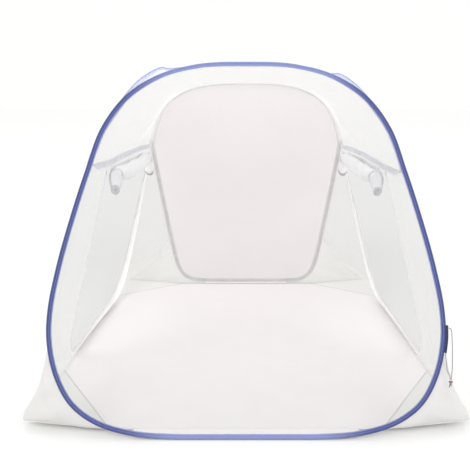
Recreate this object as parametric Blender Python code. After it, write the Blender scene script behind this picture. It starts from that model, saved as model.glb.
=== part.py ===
"""Free-standing mosquito net tent: three sprung-wire hoops in fabric sleeves, netting
walls and roof, a fabric floor with raised corners, and a zipped door in each long side.

Metres, +Z up. The row frame's origin is the middle of the outer box at ground level.
-Y is the front hoop, +Y the rear hoop, -X the left door and +X the right door.
"""

import math

import bmesh
import bpy
from mathutils import Matrix, Vector

# ------------------------------------------------------------------ driving dimensions
# Floor
BASE_HALF_WIDTH = 0.905
FLOOR_FRONT_Y = -0.998
FLOOR_REAR_Y = 1.030
FLOOR_THICK = 0.002
FRONT_CREASE = ((0.905, -0.450), (0.555, -0.998))  # where each front corner turns up
REAR_CREASE = ((0.905, 0.710), (0.466, 1.030))  # and each rear one
CORNER_RISE = 0.040

# Hoops: each end hoop stands in a plane that leans towards the middle of the tent
HOOP_Y = 1.070
HOOP_LEAN = 0.26  # metres back for each metre up
WIRE_R = 0.0015
WIRE_SIDES = 6
WIRE_GAP = 0.001  # between the two wire ends inside the ferrule
FERRULE_R = 0.0024
FERRULE_BORE = 0.0018
FERRULE_LENGTH = 0.036
SLEEVE_R = 0.0046  # half the sleeve's thickness round the wire
SLEEVE_BORE = 0.0037
SLEEVE_BAND = 0.016  # from the wire to the sewn edge
SLEEVE_LEAF = 0.0008  # one leaf of the folded band
SLEEVE_SLIT = 0.0003  # half the slit between the two leaves

# Outlines of the hoops as (half width, height), from the bottom to the top
FRONT_OUTLINE = (
    (0.000, 0.0047),
    (0.150, 0.0047),
    (0.300, 0.0060),
    (0.455, 0.0190),
    (0.595, 0.0600),
    (0.695, 0.1320),
    (0.757, 0.2400),
    (0.787, 0.3700),
    (0.785, 0.4900),
    (0.752, 0.6600),
    (0.701, 0.8450),
    (0.640, 1.0350),
    (0.581, 1.1950),
    (0.484, 1.3230),
    (0.355, 1.4040),
    (0.190, 1.4470),
    (0.000, 1.4550),
)
REAR_OUTLINE = (
    (0.000, 0.0047),
    (0.150, 0.0047),
    (0.300, 0.0070),
    (0.408, 0.0200),
    (0.468, 0.0620),
    (0.502, 0.1250),
    (0.520, 0.1950),
    (0.545, 0.3500),
    (0.592, 0.6900),
    (0.628, 0.9700),
    (0.634, 1.0400),
    (0.619, 1.1120),
    (0.579, 1.2160),
    (0.513, 1.3090),
    (0.444, 1.3600),
    (0.360, 1.3990),
    (0.250, 1.4240),
    (0.120, 1.4350),
    (0.000, 1.4370),
)
HOOP_SEGMENTS = 60

# Roof hoop: a saddle whose two arches stand just inside the end hoops
ARCH_GAP = 0.036
ROOF_FRONT_ARCH = (
    (0.000, 1.446),
    (0.200, 1.449),
    (0.310, 1.442),
    (0.385, 1.420),
    (0.440, 1.384),
    (0.490, 1.335),
    (0.540, 1.268),
    (0.583, 1.190),
    (0.615, 1.115),
    (0.632, 1.078),
)
ROOF_REAR_ARCH = (
    (0.000, 1.436),
    (0.120, 1.435),
    (0.250, 1.424),
    (0.360, 1.399),
    (0.444, 1.361),
    (0.513, 1.309),
    (0.579, 1.216),
    (0.619, 1.115),
    (0.630, 1.078),
)
TRIM_X = 0.634
TRIM_Z = 1.034
TRIM_RISE = 0.008  # the trims bow up this much half way along
TURN_RUN = 0.060  # length of each turn from arch to trim
ROOF_SEGMENTS = 88

# Netting and cloth
NET_THICK = 0.001
CLOTH_THICK = 0.001
NET_SEAM = 0.0072  # from a wire's centre to the edge of the netting behind it
NECK_SIDE = 0.075  # how far the roof net draws in at the shoulders half way along
NECK_TOP = 0.035  # and at the ridge
SILL_X = 0.455  # half width of the front sill
REAR_SILL_X = 0.300
GUSSET_TOP = 0.355  # height at which each corner gusset meets its hoop

# Door openings: U-shaped zips, in walls that lean in towards the trims
WALL_X = 0.904
WALL_LEAN = 0.265  # metres in for each metre up
DOOR_FRONT_Y = -0.460
DOOR_REAR_Y = 0.762
DOOR_TOP_Z = 1.009
DOOR_BOTTOM_Z = 0.050
DOOR_CORNER = 0.200
ZIP_WIDTH = 0.014
ZIP_THICK = 0.0015

# Rolled-up doors, which hang under the trims
ROLL_FRONT_Y = -0.510
ROLL_REAR_Y = 0.520
ROLL_X = 0.606
ROLL_Z = 0.966
ROLL_R = 0.029
ROLL_END_R = 0.021
ROLL_DROOP = (0.048, 0.080)  # how far its front and rear tails hang
ROLL_HEAD_Z = 1.010
TIE_Y = (-0.445, 0.430)
TIE_WIDTH = 0.010
TIE_THICK = 0.0012

# Zip sliders and their pulls
SLIDER_LENGTH = 0.016
SLIDER_HALF_WIDTH = 0.005
SLIDER_HALF_DEPTH = 0.0024
SLIDER_SLOT = 0.00115
SLIDER_Z = 0.980
BAIL_HALF_LENGTH = 0.005
BAIL_HEIGHT = 0.0038
BAIL_BAR = 0.0013
BAIL_WIDTH = 0.0024
PULL_HALF_WIDTH = 0.0036
PULL_LENGTH = 0.030
PULL_BAR = 0.0014
PULL_HOLE_END = 0.0074
PULL_HOLE_HALF = 0.0021

# Tie strap on the front hoop's right side
STRAP_ANCHOR_Z = (0.330, 0.436)
STRAP_ANCHOR_WIDTH = 0.014
STRAP_ANCHOR_DEPTH = 0.0055
CORD_DIAMETER = 0.004
CORD_FORWARD = 0.012  # in front of the hoop's plane
KNOT_R = 0.0085

GAP = 0.0003


# ------------------------------------------------------------------------- scene set-up
for stale in list(bpy.data.objects):
    bpy.data.objects.remove(stale, do_unlink=True)


def material(name, colour, roughness, metallic=0.0):
    mat = bpy.data.materials.new(name)
    mat.use_nodes = True
    mat.diffuse_color = (*colour, 1.0)
    node = mat.node_tree.nodes["Principled BSDF"]
    node.inputs["Base Color"].default_value = (*colour, 1.0)
    node.inputs["Roughness"].default_value = roughness
    node.inputs["Metallic"].default_value = metallic
    return mat


NAVY = material("navy_binding", (0.085, 0.100, 0.250), 0.75)
LAVENDER = material("pale_lavender_binding", (0.560, 0.570, 0.660), 0.78)
STEEL = material("sprung_steel_wire", (0.420, 0.420, 0.430), 0.35, 1.0)
CRIMP = material("crimped_steel", (0.560, 0.560, 0.570), 0.30, 1.0)
NET = material("white_netting", (0.880, 0.880, 0.870), 0.85)
CLOTH = material("white_polyester", (0.840, 0.830, 0.820), 0.70)
FLOOR = material("floor_polyester", (0.820, 0.790, 0.785), 0.62)
ZIP = material("white_zip_tape", (0.900, 0.900, 0.890), 0.70)
SLIDER = material("slider_metal", (0.700, 0.700, 0.720), 0.32, 1.0)
PULL = material("white_pull", (0.850, 0.850, 0.850), 0.40)
DARK_WEBBING = material("dark_webbing", (0.030, 0.034, 0.085), 0.80)
GREY_CORD = material("grey_cord", (0.450, 0.450, 0.480), 0.80)
KNOT = material("knot_ends", (0.300, 0.220, 0.230), 0.85)


def add_mesh(name, verts, faces, mat, smooth=True):
    mesh = bpy.data.meshes.new(name)
    mesh.from_pydata([tuple(v) for v in verts], [], faces)
    mesh.validate()
    bm = bmesh.new()
    bm.from_mesh(mesh)
    bmesh.ops.recalc_face_normals(bm, faces=bm.faces)
    bm.to_mesh(mesh)
    bm.free()
    if smooth:
        mesh.shade_smooth()
        mesh.set_sharp_from_angle(angle=math.radians(40))
    mesh.materials.append(mat)
    obj = bpy.data.objects.new(name, mesh)
    bpy.context.scene.collection.objects.link(obj)
    return obj


# --------------------------------------------------------------------------- geometry
def lerp(a, b, t):
    return a + (b - a) * t


def smoothstep(t):
    t = max(0.0, min(1.0, t))
    return t * t * (3 - 2 * t)


def catmull(points, closed, per_span=24):
    """Points along a centripetal Catmull-Rom curve through the given points."""
    n = len(points)
    out = []
    spans = n if closed else n - 1
    for i in range(spans):
        if closed:
            p0, p1, p2, p3 = (points[(i + k - 1) % n] for k in range(4))
        else:
            p1, p2 = points[i], points[i + 1]
            p0 = points[i - 1] if i > 0 else p1 * 2 - p2
            p3 = points[i + 2] if i + 2 < n else p2 * 2 - p1
        t0 = 0.0
        t1 = t0 + math.sqrt((p1 - p0).length)
        t2 = t1 + math.sqrt((p2 - p1).length)
        t3 = t2 + math.sqrt((p3 - p2).length)
        for k in range(per_span):
            t = t1 + (t2 - t1) * k / per_span
            a1 = p0 * ((t1 - t) / (t1 - t0)) + p1 * ((t - t0) / (t1 - t0))
            a2 = p1 * ((t2 - t) / (t2 - t1)) + p2 * ((t - t1) / (t2 - t1))
            a3 = p2 * ((t3 - t) / (t3 - t2)) + p3 * ((t - t2) / (t3 - t2))
            b1 = a1 * ((t2 - t) / (t2 - t0)) + a2 * ((t - t0) / (t2 - t0))
            b2 = a2 * ((t3 - t) / (t3 - t1)) + a3 * ((t - t1) / (t3 - t1))
            out.append(b1 * ((t2 - t) / (t2 - t1)) + b2 * ((t - t1) / (t2 - t1)))
    if not closed:
        out.append(points[-1].copy())
    return out


def even(points, count, closed, bend=0.0, turn_of=None, turn_weight=0.0):
    """Takes count segments along a fine line, closer together where it bends or turns."""
    n = len(points)
    ring = points + [points[0]] if closed else points
    weight = [0.0]
    for i in range(len(ring) - 1):
        step = (ring[i + 1] - ring[i]).length
        before = points[(i - 1) % n] if closed or i else ring[0]
        turn = 0.0
        u, w = ring[i] - before, ring[i + 1] - ring[i]
        if u.length > 1e-9 and w.length > 1e-9:
            turn = u.angle(w)
        extra = 0.0
        if turn_of is not None:
            extra = turn_weight * abs(turn_of(ring[i + 1]) - turn_of(ring[i]))
        weight.append(weight[-1] + step + bend * turn + extra)
    total, out, j = weight[-1], [], 0
    for k in range(count if closed else count + 1):
        want = total * k / count
        while j < len(weight) - 2 and weight[j + 1] < want:
            j += 1
        span = weight[j + 1] - weight[j]
        t = 0.0 if span < 1e-12 else (want - weight[j]) / span
        out.append(ring[j].lerp(ring[j + 1], min(1.0, t)))
    return out


def mirror(points):
    return [Vector((-p.x, p.y, p.z)) for p in points]


def floor_height(x, y):
    """Height of the floor's underside: the corners beyond each crease turn up."""
    best = 0.0
    for (ax, ay), (bx, by) in (FRONT_CREASE, REAR_CREASE):
        corner_y = FLOOR_FRONT_Y if by < 0 else FLOOR_REAR_Y
        dx, dy = bx - ax, by - ay
        length = math.hypot(dx, dy)
        nx, ny = dy / length, -dx / length
        reach = (BASE_HALF_WIDTH - ax) * nx + (corner_y - ay) * ny
        if reach < 0:
            nx, ny, reach = -nx, -ny, -reach
        out = (abs(x) - ax) * nx + (y - ay) * ny
        best = max(best, CORNER_RISE * out / reach)
    return best


def hoop_plane(front, height, behind=0.0):
    """Y of an end hoop's plane at a height; behind is measured towards the middle."""
    y = -HOOP_Y + HOOP_LEAN * height + behind
    return y if front else -y


def end_hoop(outline, front):
    """The wire line of an end hoop, from the middle of its bottom, right side first."""
    right = [Vector((x, hoop_plane(front, z), z)) for x, z in outline]
    left = mirror(right[1:-1])[::-1]
    fine = catmull(right + left, True)
    return even(fine, HOOP_SEGMENTS, True, bend=0.12)


def tangents(line, closed):
    n = len(line)
    out = []
    for i in range(n):
        a = line[(i - 1) % n] if closed or i else line[0]
        b = line[(i + 1) % n] if closed or i < n - 1 else line[-1]
        out.append((b - a).normalized())
    return out


LEAN_LENGTH = math.hypot(1.0, HOOP_LEAN)
UP_PLANE = {
    True: Vector((0, HOOP_LEAN, 1)) / LEAN_LENGTH,
    False: Vector((0, -HOOP_LEAN, 1)) / LEAN_LENGTH,
}
INTO_TENT = {
    True: Vector((0, 1, -HOOP_LEAN)) / LEAN_LENGTH,
    False: Vector((0, -1, -HOOP_LEAN)) / LEAN_LENGTH,
}


def inward_frames(line, front):
    """For each station of an end hoop, (towards the hoop's middle, across its plane)."""
    across = INTO_TENT[front]
    middle = Vector((0, hoop_plane(front, 0.75), 0.75))
    frames = []
    for p, t in zip(line, tangents(line, True)):
        inward = across.cross(t).normalized()
        if inward.dot(middle - p) < 0:
            inward.negate()
        frames.append((inward, across))
    return frames


SLEEVE_PROFILE = (
    (SLEEVE_BAND, SLEEVE_SLIT + SLEEVE_LEAF),
    (0.0, SLEEVE_R),
    (-SLEEVE_R, 0.0),
    (0.0, -SLEEVE_R),
    (SLEEVE_BAND, -SLEEVE_SLIT - SLEEVE_LEAF),
    (SLEEVE_BAND, -SLEEVE_SLIT),
    (0.0, -SLEEVE_BORE),
    (-SLEEVE_BORE, 0.0),
    (0.0, SLEEVE_BORE),
    (SLEEVE_BAND, SLEEVE_SLIT),
)


def loft(name, rings, mat, closed, smooth=True):
    """Joins rings of equal count into one closed body, capped at both ends if open."""
    m = len(rings[0])
    verts = [v for ring in rings for v in ring]
    faces = []
    n = len(rings)
    for i in range(n if closed else n - 1):
        j = (i + 1) % n
        for k in range(m):
            q = (k + 1) % m
            faces.append((i * m + k, i * m + q, j * m + q, j * m + k))
    if not closed:
        faces.append(tuple(range(m))[::-1])
        faces.append(tuple((n - 1) * m + k for k in range(m)))
    return add_mesh(name, verts, faces, mat, smooth)


def sleeve(name, line, frames, mat):
    rings = [
        [p + a * u + b * v for u, v in SLEEVE_PROFILE] for p, (a, b) in zip(line, frames)
    ]
    return loft(name, rings, mat, True)


def wire(name, line, frames, mat):
    """The sprung wire: an open loop whose two ends meet inside the ferrule."""
    first = (line[1] - line[0]).normalized()
    last = (line[-1] - line[0]).normalized()
    stations = [line[0] + first * WIRE_GAP / 2] + line[1:]
    stations.append(line[0] + last * WIRE_GAP / 2)
    sides = [frames[0]] + list(frames[1:]) + [frames[0]]
    rings = []
    for p, (a, b) in zip(stations, sides):
        rings.append(
            [
                p
                + a * WIRE_R * math.cos(2 * math.pi * k / WIRE_SIDES)
                + b * WIRE_R * math.sin(2 * math.pi * k / WIRE_SIDES)
                for k in range(WIRE_SIDES)
            ]
        )
    return loft(name, rings, mat, False)


def ferrule(name, line, frames, mat):
    """A short tube crimped over the wire's two ends."""
    a, b = frames[0]
    along = (line[1] - line[-1]).normalized()
    verts, faces = [], []
    n = WIRE_SIDES
    for s in (-0.5, 0.5):
        for r in (FERRULE_R, FERRULE_BORE):
            for k in range(n):
                angle = 2 * math.pi * k / n
                verts.append(
                    line[0]
                    + along * FERRULE_LENGTH * s
                    + a * r * math.cos(angle)
                    + b * r * math.sin(angle)
                )
    for k in range(n):
        q = (k + 1) % n
        faces.append((k, q, 2 * n + q, 2 * n + k))
        faces.append((n + q, n + k, 3 * n + k, 3 * n + q))
        faces.append((k, n + k, n + q, q))
        faces.append((2 * n + q, 3 * n + q, 3 * n + k, 2 * n + k))
    return add_mesh(name, verts, faces, mat)


def sheet(name, grid, mat, thick=NET_THICK):
    """A piece of cloth from a grid of points, given its thickness by a modifier."""
    rows, cols = len(grid), len(grid[0])
    verts = [p for row in grid for p in row]
    faces = [
        (i * cols + j, i * cols + j + 1, (i + 1) * cols + j + 1, (i + 1) * cols + j)
        for i in range(rows - 1)
        for j in range(cols - 1)
    ]
    obj = add_mesh(name, verts, faces, mat)
    solid = obj.modifiers.new("thickness", "SOLIDIFY")
    solid.thickness = thick
    solid.offset = 0.0
    solid.use_even_offset = False
    return obj


def coons(left, right, bottom, top):
    """A grid of points that fills four edge lines; rows run from bottom to top."""
    nv, nu = len(left) - 1, len(bottom) - 1
    grid = []
    for i in range(nv + 1):
        v = i / nv
        row = []
        for j in range(nu + 1):
            u = j / nu
            p = left[i] * (1 - u) + right[i] * u
            p = p + bottom[j] * (1 - v) + top[j] * v
            p = p - (
                bottom[0] * (1 - u) * (1 - v)
                + bottom[-1] * u * (1 - v)
                + top[0] * (1 - u) * v
                + top[-1] * u * v
            )
            row.append(p)
        grid.append(row)
    return grid


def straight(a, b, count):
    return [a.lerp(b, k / count) for k in range(count + 1)]


def along(points, count):
    return even(points, count, False)


# -------------------------------------------------------------------------- end hoops
def build_end_hoop(prefix, outline, front, mat):
    line = end_hoop(outline, front)
    frames = inward_frames(line, front)
    wire(prefix + "_hoop_wire", line, frames, STEEL)
    ferrule(prefix + "_hoop_ferrule", line, frames, CRIMP)
    sleeve(prefix + "_hoop_sleeve", line, frames, mat)
    inset = SLEEVE_BAND + 0.001
    panel = add_mesh(
        prefix + "_net",
        [p + a * inset for p, (a, b) in zip(line, frames)],
        [tuple(range(len(line)))],
        NET,
        smooth=False,
    )
    solid = panel.modifiers.new("thickness", "SOLIDIFY")
    solid.thickness = NET_THICK
    solid.offset = 0.0
    return line


front_line = build_end_hoop("front", FRONT_OUTLINE, True, NAVY)
rear_line = build_end_hoop("rear", REAR_OUTLINE, False, NAVY)


# -------------------------------------------------------------------------- roof hoop
def roof_hoop_points():
    """Control points of the saddle, from the middle of the left trim by the front."""

    def arch(stations, front):
        return [Vector((x, hoop_plane(front, z, ARCH_GAP), z)) for x, z in stations]

    def turn(front):
        side = 1 if front else -1
        start = hoop_plane(front, TRIM_Z, ARCH_GAP)
        return [
            Vector((TRIM_X + 0.001, start + side * 0.022, TRIM_Z + 0.011)),
            Vector((TRIM_X + 0.001, start + side * TURN_RUN, TRIM_Z)),
            Vector((TRIM_X, start + side * 2.6 * TURN_RUN, TRIM_Z + 0.001)),
        ]

    def trim(front):
        side = -1 if front else 1
        return [
            Vector((TRIM_X - 0.002, side * 0.36, TRIM_Z + TRIM_RISE * 0.75)),
        ]

    middle = Vector((TRIM_X - 0.003, 0.0, TRIM_Z + TRIM_RISE))
    front_half = [middle] + trim(True) + turn(True)[::-1]
    front_half += arch(ROOF_FRONT_ARCH, True)[::-1]
    rear_half = arch(ROOF_REAR_ARCH, False) + turn(False) + trim(False)
    left_front = mirror(front_half)
    right_front = front_half[:-1][::-1]
    right_rear = rear_half[::-1]
    left_rear = mirror(rear_half[1:])
    return left_front + right_front + right_rear + left_rear


def trim_share(p):
    """0 on an arch of the roof hoop, 1 on a side trim, in between on the turns."""
    return smoothstep((abs(p.y - hoop_plane(p.y < 0, p.z, ARCH_GAP)) - 0.004) / 0.150)


roof_line = even(
    catmull(roof_hoop_points(), True),
    ROOF_SEGMENTS,
    True,
    bend=0.15,
    turn_of=trim_share,
    turn_weight=0.50,
)


def roof_frames(line):
    """(flange direction, across) and the way into the roof net, for each station."""
    frames, into = [], []
    for p, t in zip(line, tangents(line, True)):
        front = p.y < 0
        w = trim_share(p)
        side = 1.0 if p.x > 0 else -1.0
        to_middle = Vector((-p.x, 0, 0.90 - p.z)).normalized()
        want = to_middle * (1 - w) + Vector((-0.12 * side, 0, -1)) * w
        a = (want - t * want.dot(t)).normalized()
        frames.append((a, t.cross(a).normalized()))
        back = INTO_TENT[front]
        roof = back * (1 - w) + Vector((-0.22 * side, 0, 1)) * w
        into.append((roof - t * roof.dot(t)).normalized())
    return frames, into


roof_axes, roof_into = roof_frames(roof_line)
wire("roof_hoop_wire", roof_line, roof_axes, STEEL)
ferrule("roof_hoop_ferrule", roof_line, roof_axes, CRIMP)
sleeve("roof_hoop_sleeve", roof_line, roof_axes, LAVENDER)


# --------------------------------------------------------------------------- roof net
def corner_stations():
    """The four stations where the roof hoop is half way round a turn, in order."""
    found = []
    pairs = list(zip(roof_line, tangents(roof_line, True)))
    for front in (True, False):
        for side in (-1, 1):
            best = min(
                (i for i, (p, t) in enumerate(pairs) if p.x * side > 0.5 and (p.y < 0) == front),
                key=lambda i: abs(abs(pairs[i][1].y) - 0.70) + 4 * abs(pairs[i][0].z - 1.05),
            )
            found.append(best)
    return found  # front left, front right, rear left, rear right


def between(first, last):
    """Edge of the roof net along the hoop from one station to another."""
    n = len(roof_line)
    out, i = [], first
    while True:
        out.append(roof_line[i] + roof_into[i] * NET_SEAM)
        if i == last:
            return out
        i = (i + 1) % n


def build_roof_net():
    fl, fr, rl, rr = corner_stations()
    across, depth = 24, 10
    front = along(between(fl, fr), across)
    right = along(between(fr, rr), depth)
    rear = along(between(rr, rl), across)[::-1]
    left = along(between(rl, fl), depth)[::-1]
    grid = coons(left, right, front, rear)
    for i, row in enumerate(grid):
        v = i / depth
        bow = 4 * v * (1 - v)
        for j, p in enumerate(row):
            u = j / across
            edge = smoothstep(min(u, 1 - u) / 0.16)
            shoulder = math.sin(math.pi * u) ** 2 * (1 - math.sin(math.pi * u) ** 10)
            ridge = math.sin(math.pi * u) ** 6
            to_axis = Vector((-p.x, 0, 1.02 - p.z))
            if to_axis.length > 1e-6:
                to_axis.normalize()
            pull = bow * edge * (NECK_SIDE * 2.2 * shoulder + NECK_TOP * ridge)
            row[j] = p + to_axis * min(pull, NECK_SIDE * bow)
    return sheet("roof_net", grid, NET)


build_roof_net()


def arch_strip(name, hoop, outline_top, front):
    """Narrow net strip between an end hoop and the roof hoop's arch next to it."""
    level = 1.092
    end = [p for p in hoop if p.z > level - 0.02]
    end.sort(key=lambda p: math.atan2(p.z - 0.95, -p.x), reverse=False)
    end = along(end, 20)
    roof = [
        p for p in roof_line if p.z > level - 0.01 and (p.y < 0) == front
    ]
    roof.sort(key=lambda p: math.atan2(p.z - 0.95, -p.x))
    roof = along(roof, 20)
    off = INTO_TENT[front] * NET_SEAM
    grid = [
        [e + off for e in end],
        [(e + off).lerp(r - off, 0.5) for e, r in zip(end, roof)],
        [r - off for r in roof],
    ]
    return sheet(name, grid, NET)


arch_strip("front_arch_strip", front_line, FRONT_OUTLINE, True)
arch_strip("rear_arch_strip", rear_line, REAR_OUTLINE, False)


# ------------------------------------------------------------------------------ floor
def build_floor():
    (fx, fy), (gx, gy) = FRONT_CREASE
    (rx, ry), (sx, sy) = REAR_CREASE
    w = BASE_HALF_WIDTH
    flat = [(gx, gy), (fx, fy), (rx, ry), (sx, sy), (-sx, sy), (-rx, ry), (-fx, fy), (-gx, gy)]
    corners = [(w, gy), (w, sy), (-w, sy), (-w, gy)]
    verts = [Vector((x, y, 0.0)) for x, y in flat]
    verts += [Vector((x, y, floor_height(x, y))) for x, y in corners]
    faces = [tuple(range(8)), (0, 8, 1), (2, 9, 3), (4, 10, 5), (6, 11, 7)]
    mesh = bpy.data.meshes.new("floor_sheet")
    mesh.from_pydata([tuple(v) for v in verts], [], faces)
    bm = bmesh.new()
    bm.from_mesh(mesh)
    extruded = bmesh.ops.extrude_face_region(bm, geom=list(bm.faces))
    raised = [g for g in extruded["geom"] if isinstance(g, bmesh.types.BMVert)]
    bmesh.ops.translate(bm, verts=raised, vec=(0, 0, FLOOR_THICK))
    bmesh.ops.recalc_face_normals(bm, faces=bm.faces)
    bm.to_mesh(mesh)
    bm.free()
    mesh.materials.append(FLOOR)
    obj = bpy.data.objects.new("floor_sheet", mesh)
    bpy.context.scene.collection.objects.link(obj)


build_floor()


def half_line(front):
    """The right half of an end hoop's wire line, from the bottom to the top."""
    outline = FRONT_OUTLINE if front else REAR_OUTLINE
    right = [Vector((x, hoop_plane(front, z), z)) for x, z in outline]
    return catmull(right, False)


def cut(line, low=None, high=None, from_x=None):
    """The part of a right half line between two heights, or past a half width."""
    out = []
    for p in line:
        if low is not None and p.z < low:
            continue
        if high is not None and p.z > high:
            continue
        if from_x is not None and p.x < from_x and p.z < 0.3:
            continue
        out.append(p)
    return out


FRONT_SEAM_POINTS = (
    (0.904, -0.9970, 0.0455),
    (0.893, -0.9945, 0.0800),
    (0.862, -0.9900, 0.1300),
    (0.832, -0.9850, 0.1900),
    (0.806, -0.9770, 0.2750),
    (0.7885, -0.9690, GUSSET_TOP),
)
REAR_SEAM_POINTS = (
    (0.904, 1.0290, 0.0455),
    (0.858, 1.0270, 0.0720),
    (0.765, 1.0180, 0.1250),
    (0.670, 1.0050, 0.2000),
    (0.598, 0.9880, 0.2780),
    (0.5480, 0.9670, GUSSET_TOP),
)


def corner_seam(front):
    """Right-hand seam from a floor corner up to the hoop, between gusset and wall."""
    points = FRONT_SEAM_POINTS if front else REAR_SEAM_POINTS
    return along(catmull([Vector(p) for p in points], False), 6)


def base_edge(a, b, count, lift=0.0035):
    """A line along the floor's edge, just above the floor."""
    out = []
    for k in range(count + 1):
        x, y = lerp(a[0], b[0], k / count), lerp(a[1], b[1], k / count)
        out.append(Vector((x, y, floor_height(x, y) + lift)))
    return out


def both_sides(name, grid, mat, thick=NET_THICK):
    sheet(name + "_right", grid, mat, thick)
    sheet(name + "_left", [mirror(row) for row in grid], mat, thick)


def build_gusset(front):
    """Cloth pocket between a hoop's rounded lower corner and the floor's corner."""
    start = SILL_X if front else REAR_SILL_X
    side = -1 if front else 1
    off = INTO_TENT[front] * NET_SEAM
    hoop = cut(half_line(front), high=GUSSET_TOP - 0.012, from_x=start + 0.001)
    inner = along([p + off for p in hoop], 11)
    edge_y = (FLOOR_FRONT_Y if front else FLOOR_REAR_Y) + side * 0.0006
    rim = base_edge((start + 0.001, edge_y), (BASE_HALF_WIDTH - 0.004, edge_y), 5)
    seam = [p + Vector((0, side * 0.0016, -0.002)) for p in corner_seam(front)]
    outer = rim + seam[1:]
    grid = []
    for k in range(5):
        t = k / 4
        grid.append([a.lerp(b, t) for a, b in zip(inner, outer)])
    both_sides("front_gusset" if front else "rear_gusset", grid, CLOTH, CLOTH_THICK)


build_gusset(True)
build_gusset(False)


def build_sill(front):
    half = SILL_X if front else REAR_SILL_X
    side = -1 if front else 1
    line = half_line(front)
    off = INTO_TENT[front] * NET_SEAM
    count = 8
    hoop_edge, floor_edge = [], []
    for k in range(-count, count + 1):
        x = half * k / count
        near = min(line, key=lambda p: abs(p.x - abs(x)) + (10 if p.z > 0.3 else 0))
        hoop_edge.append(Vector((x, near.y, near.z)) + off)
        y = (FLOOR_FRONT_Y if front else FLOOR_REAR_Y) + side * -0.004
        floor_edge.append(Vector((x, y, 0.0035)))
    middle = [a.lerp(b, 0.5) for a, b in zip(hoop_edge, floor_edge)]
    sheet(
        "front_sill" if front else "rear_sill",
        [hoop_edge, middle, floor_edge],
        CLOTH,
        CLOTH_THICK,
    )


build_sill(True)
build_sill(False)


# --------------------------------------------------------------- side walls and doors
def wall_point(y, z):
    return Vector((WALL_X - WALL_LEAN * z, y, z))


def door_edge(front, offset):
    """Half of the door's edge, from the middle of its bottom up one side."""
    side = -1 if front else 1
    upright = DOOR_FRONT_Y if front else DOOR_REAR_Y
    centre_y = upright - side * DOOR_CORNER
    centre_z = DOOR_BOTTOM_Z + DOOR_CORNER
    r = DOOR_CORNER + offset
    arc = []
    for k in range(7):
        angle = math.pi / 2 * k / 6
        arc.append(wall_point(centre_y + side * r * math.sin(angle), centre_z - r * math.cos(angle)))
    rise = [
        wall_point(upright + side * offset, lerp(centre_z, DOOR_TOP_Z, k / 6))
        for k in range(1, 7)
    ]
    return arc + rise


def build_wall(front):
    side = -1 if front else 1
    off = INTO_TENT[front] * NET_SEAM
    edge = door_edge(front, ZIP_WIDTH / 2 + GAP + NET_THICK / 2)
    foot = Vector((WALL_X - 0.0005, edge[0].y, 0.0035))
    right = [foot] + edge
    seam = [p + Vector((-0.0006, -side * 0.0010, 0)) for p in corner_seam(front)]
    hoop = cut(half_line(front), low=GUSSET_TOP + 0.012, high=DOOR_TOP_Z)
    left = seam + along([p + off for p in hoop], 6)
    left[-1].z = DOOR_TOP_Z
    corner_y = (FLOOR_FRONT_Y if front else FLOOR_REAR_Y) - side * 0.001
    rows, cols = 13, 6
    bottom = base_edge((WALL_X - 0.0005, corner_y), (foot.x, foot.y), cols)
    bottom[0], bottom[-1] = left[0], right[0]
    upper = straight(left[-1], right[-1], cols)
    grid = coons(left, right, bottom, upper)
    both_sides("side_net_front" if front else "side_net_rear", grid, NET)


build_wall(True)
build_wall(False)


def build_threshold():
    """Low cloth strip below each door's zip, along the floor's edge."""
    front = DOOR_FRONT_Y + DOOR_CORNER + 0.0006
    rear = DOOR_REAR_Y - DOOR_CORNER - 0.0006
    high = DOOR_BOTTOM_Z - ZIP_WIDTH / 2 - GAP - 0.0002
    grid = []
    for k in range(3):
        z = lerp(0.0035, high, k / 2)
        grid.append([wall_point(lerp(front, rear, j / 6), z) for j in range(7)])
    both_sides("door_threshold", grid, CLOTH, CLOTH_THICK)


build_threshold()

WALL_NORMAL = Vector((1, 0, WALL_LEAN)).normalized()
WALL_DOWN = Vector((WALL_LEAN, 0, -1)).normalized()


def build_zip():
    """The zip half that stays on the wall, all round the U-shaped opening."""
    inner = door_edge(True, -ZIP_WIDTH / 2)[::-1] + door_edge(False, -ZIP_WIDTH / 2)
    outer = door_edge(True, ZIP_WIDTH / 2)[::-1] + door_edge(False, ZIP_WIDTH / 2)
    half = WALL_NORMAL * ZIP_THICK / 2
    rings = [[a - half, b - half, b + half, a + half] for a, b in zip(inner, outer)]
    loft("door_zip_right", rings, ZIP, False, smooth=False)
    loft("door_zip_left", [mirror(r) for r in rings], ZIP, False, smooth=False)


build_zip()


# -------------------------------------------------------------------- rolled-up doors
def roll_section(y):
    """Centre and radius of the rolled door at a place along it."""
    t = (y - ROLL_FRONT_Y) / (ROLL_REAR_Y - ROLL_FRONT_Y)
    squeeze = sum(math.exp(-(((y - tie) / 0.035) ** 2)) for tie in TIE_Y)
    radius = ROLL_R - 0.006 * squeeze
    droop = ROLL_DROOP[0] * smoothstep((TIE_Y[0] + 0.010 - y) / 0.070)
    droop += ROLL_DROOP[1] * smoothstep((y - TIE_Y[1] + 0.010) / 0.090)
    sag = 0.010 * math.sin(math.pi * max(0.0, min(1.0, (y - TIE_Y[0]) / (TIE_Y[1] - TIE_Y[0]))))
    end = min(t, 1 - t) / 0.05
    if end < 1:
        radius = lerp(ROLL_END_R, radius, math.sqrt(max(0.0, end)))
    inward = 0.010 * smoothstep((-0.42 - y) / 0.12)
    return Vector((ROLL_X - inward, y, ROLL_Z - droop - sag)), radius


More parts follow.
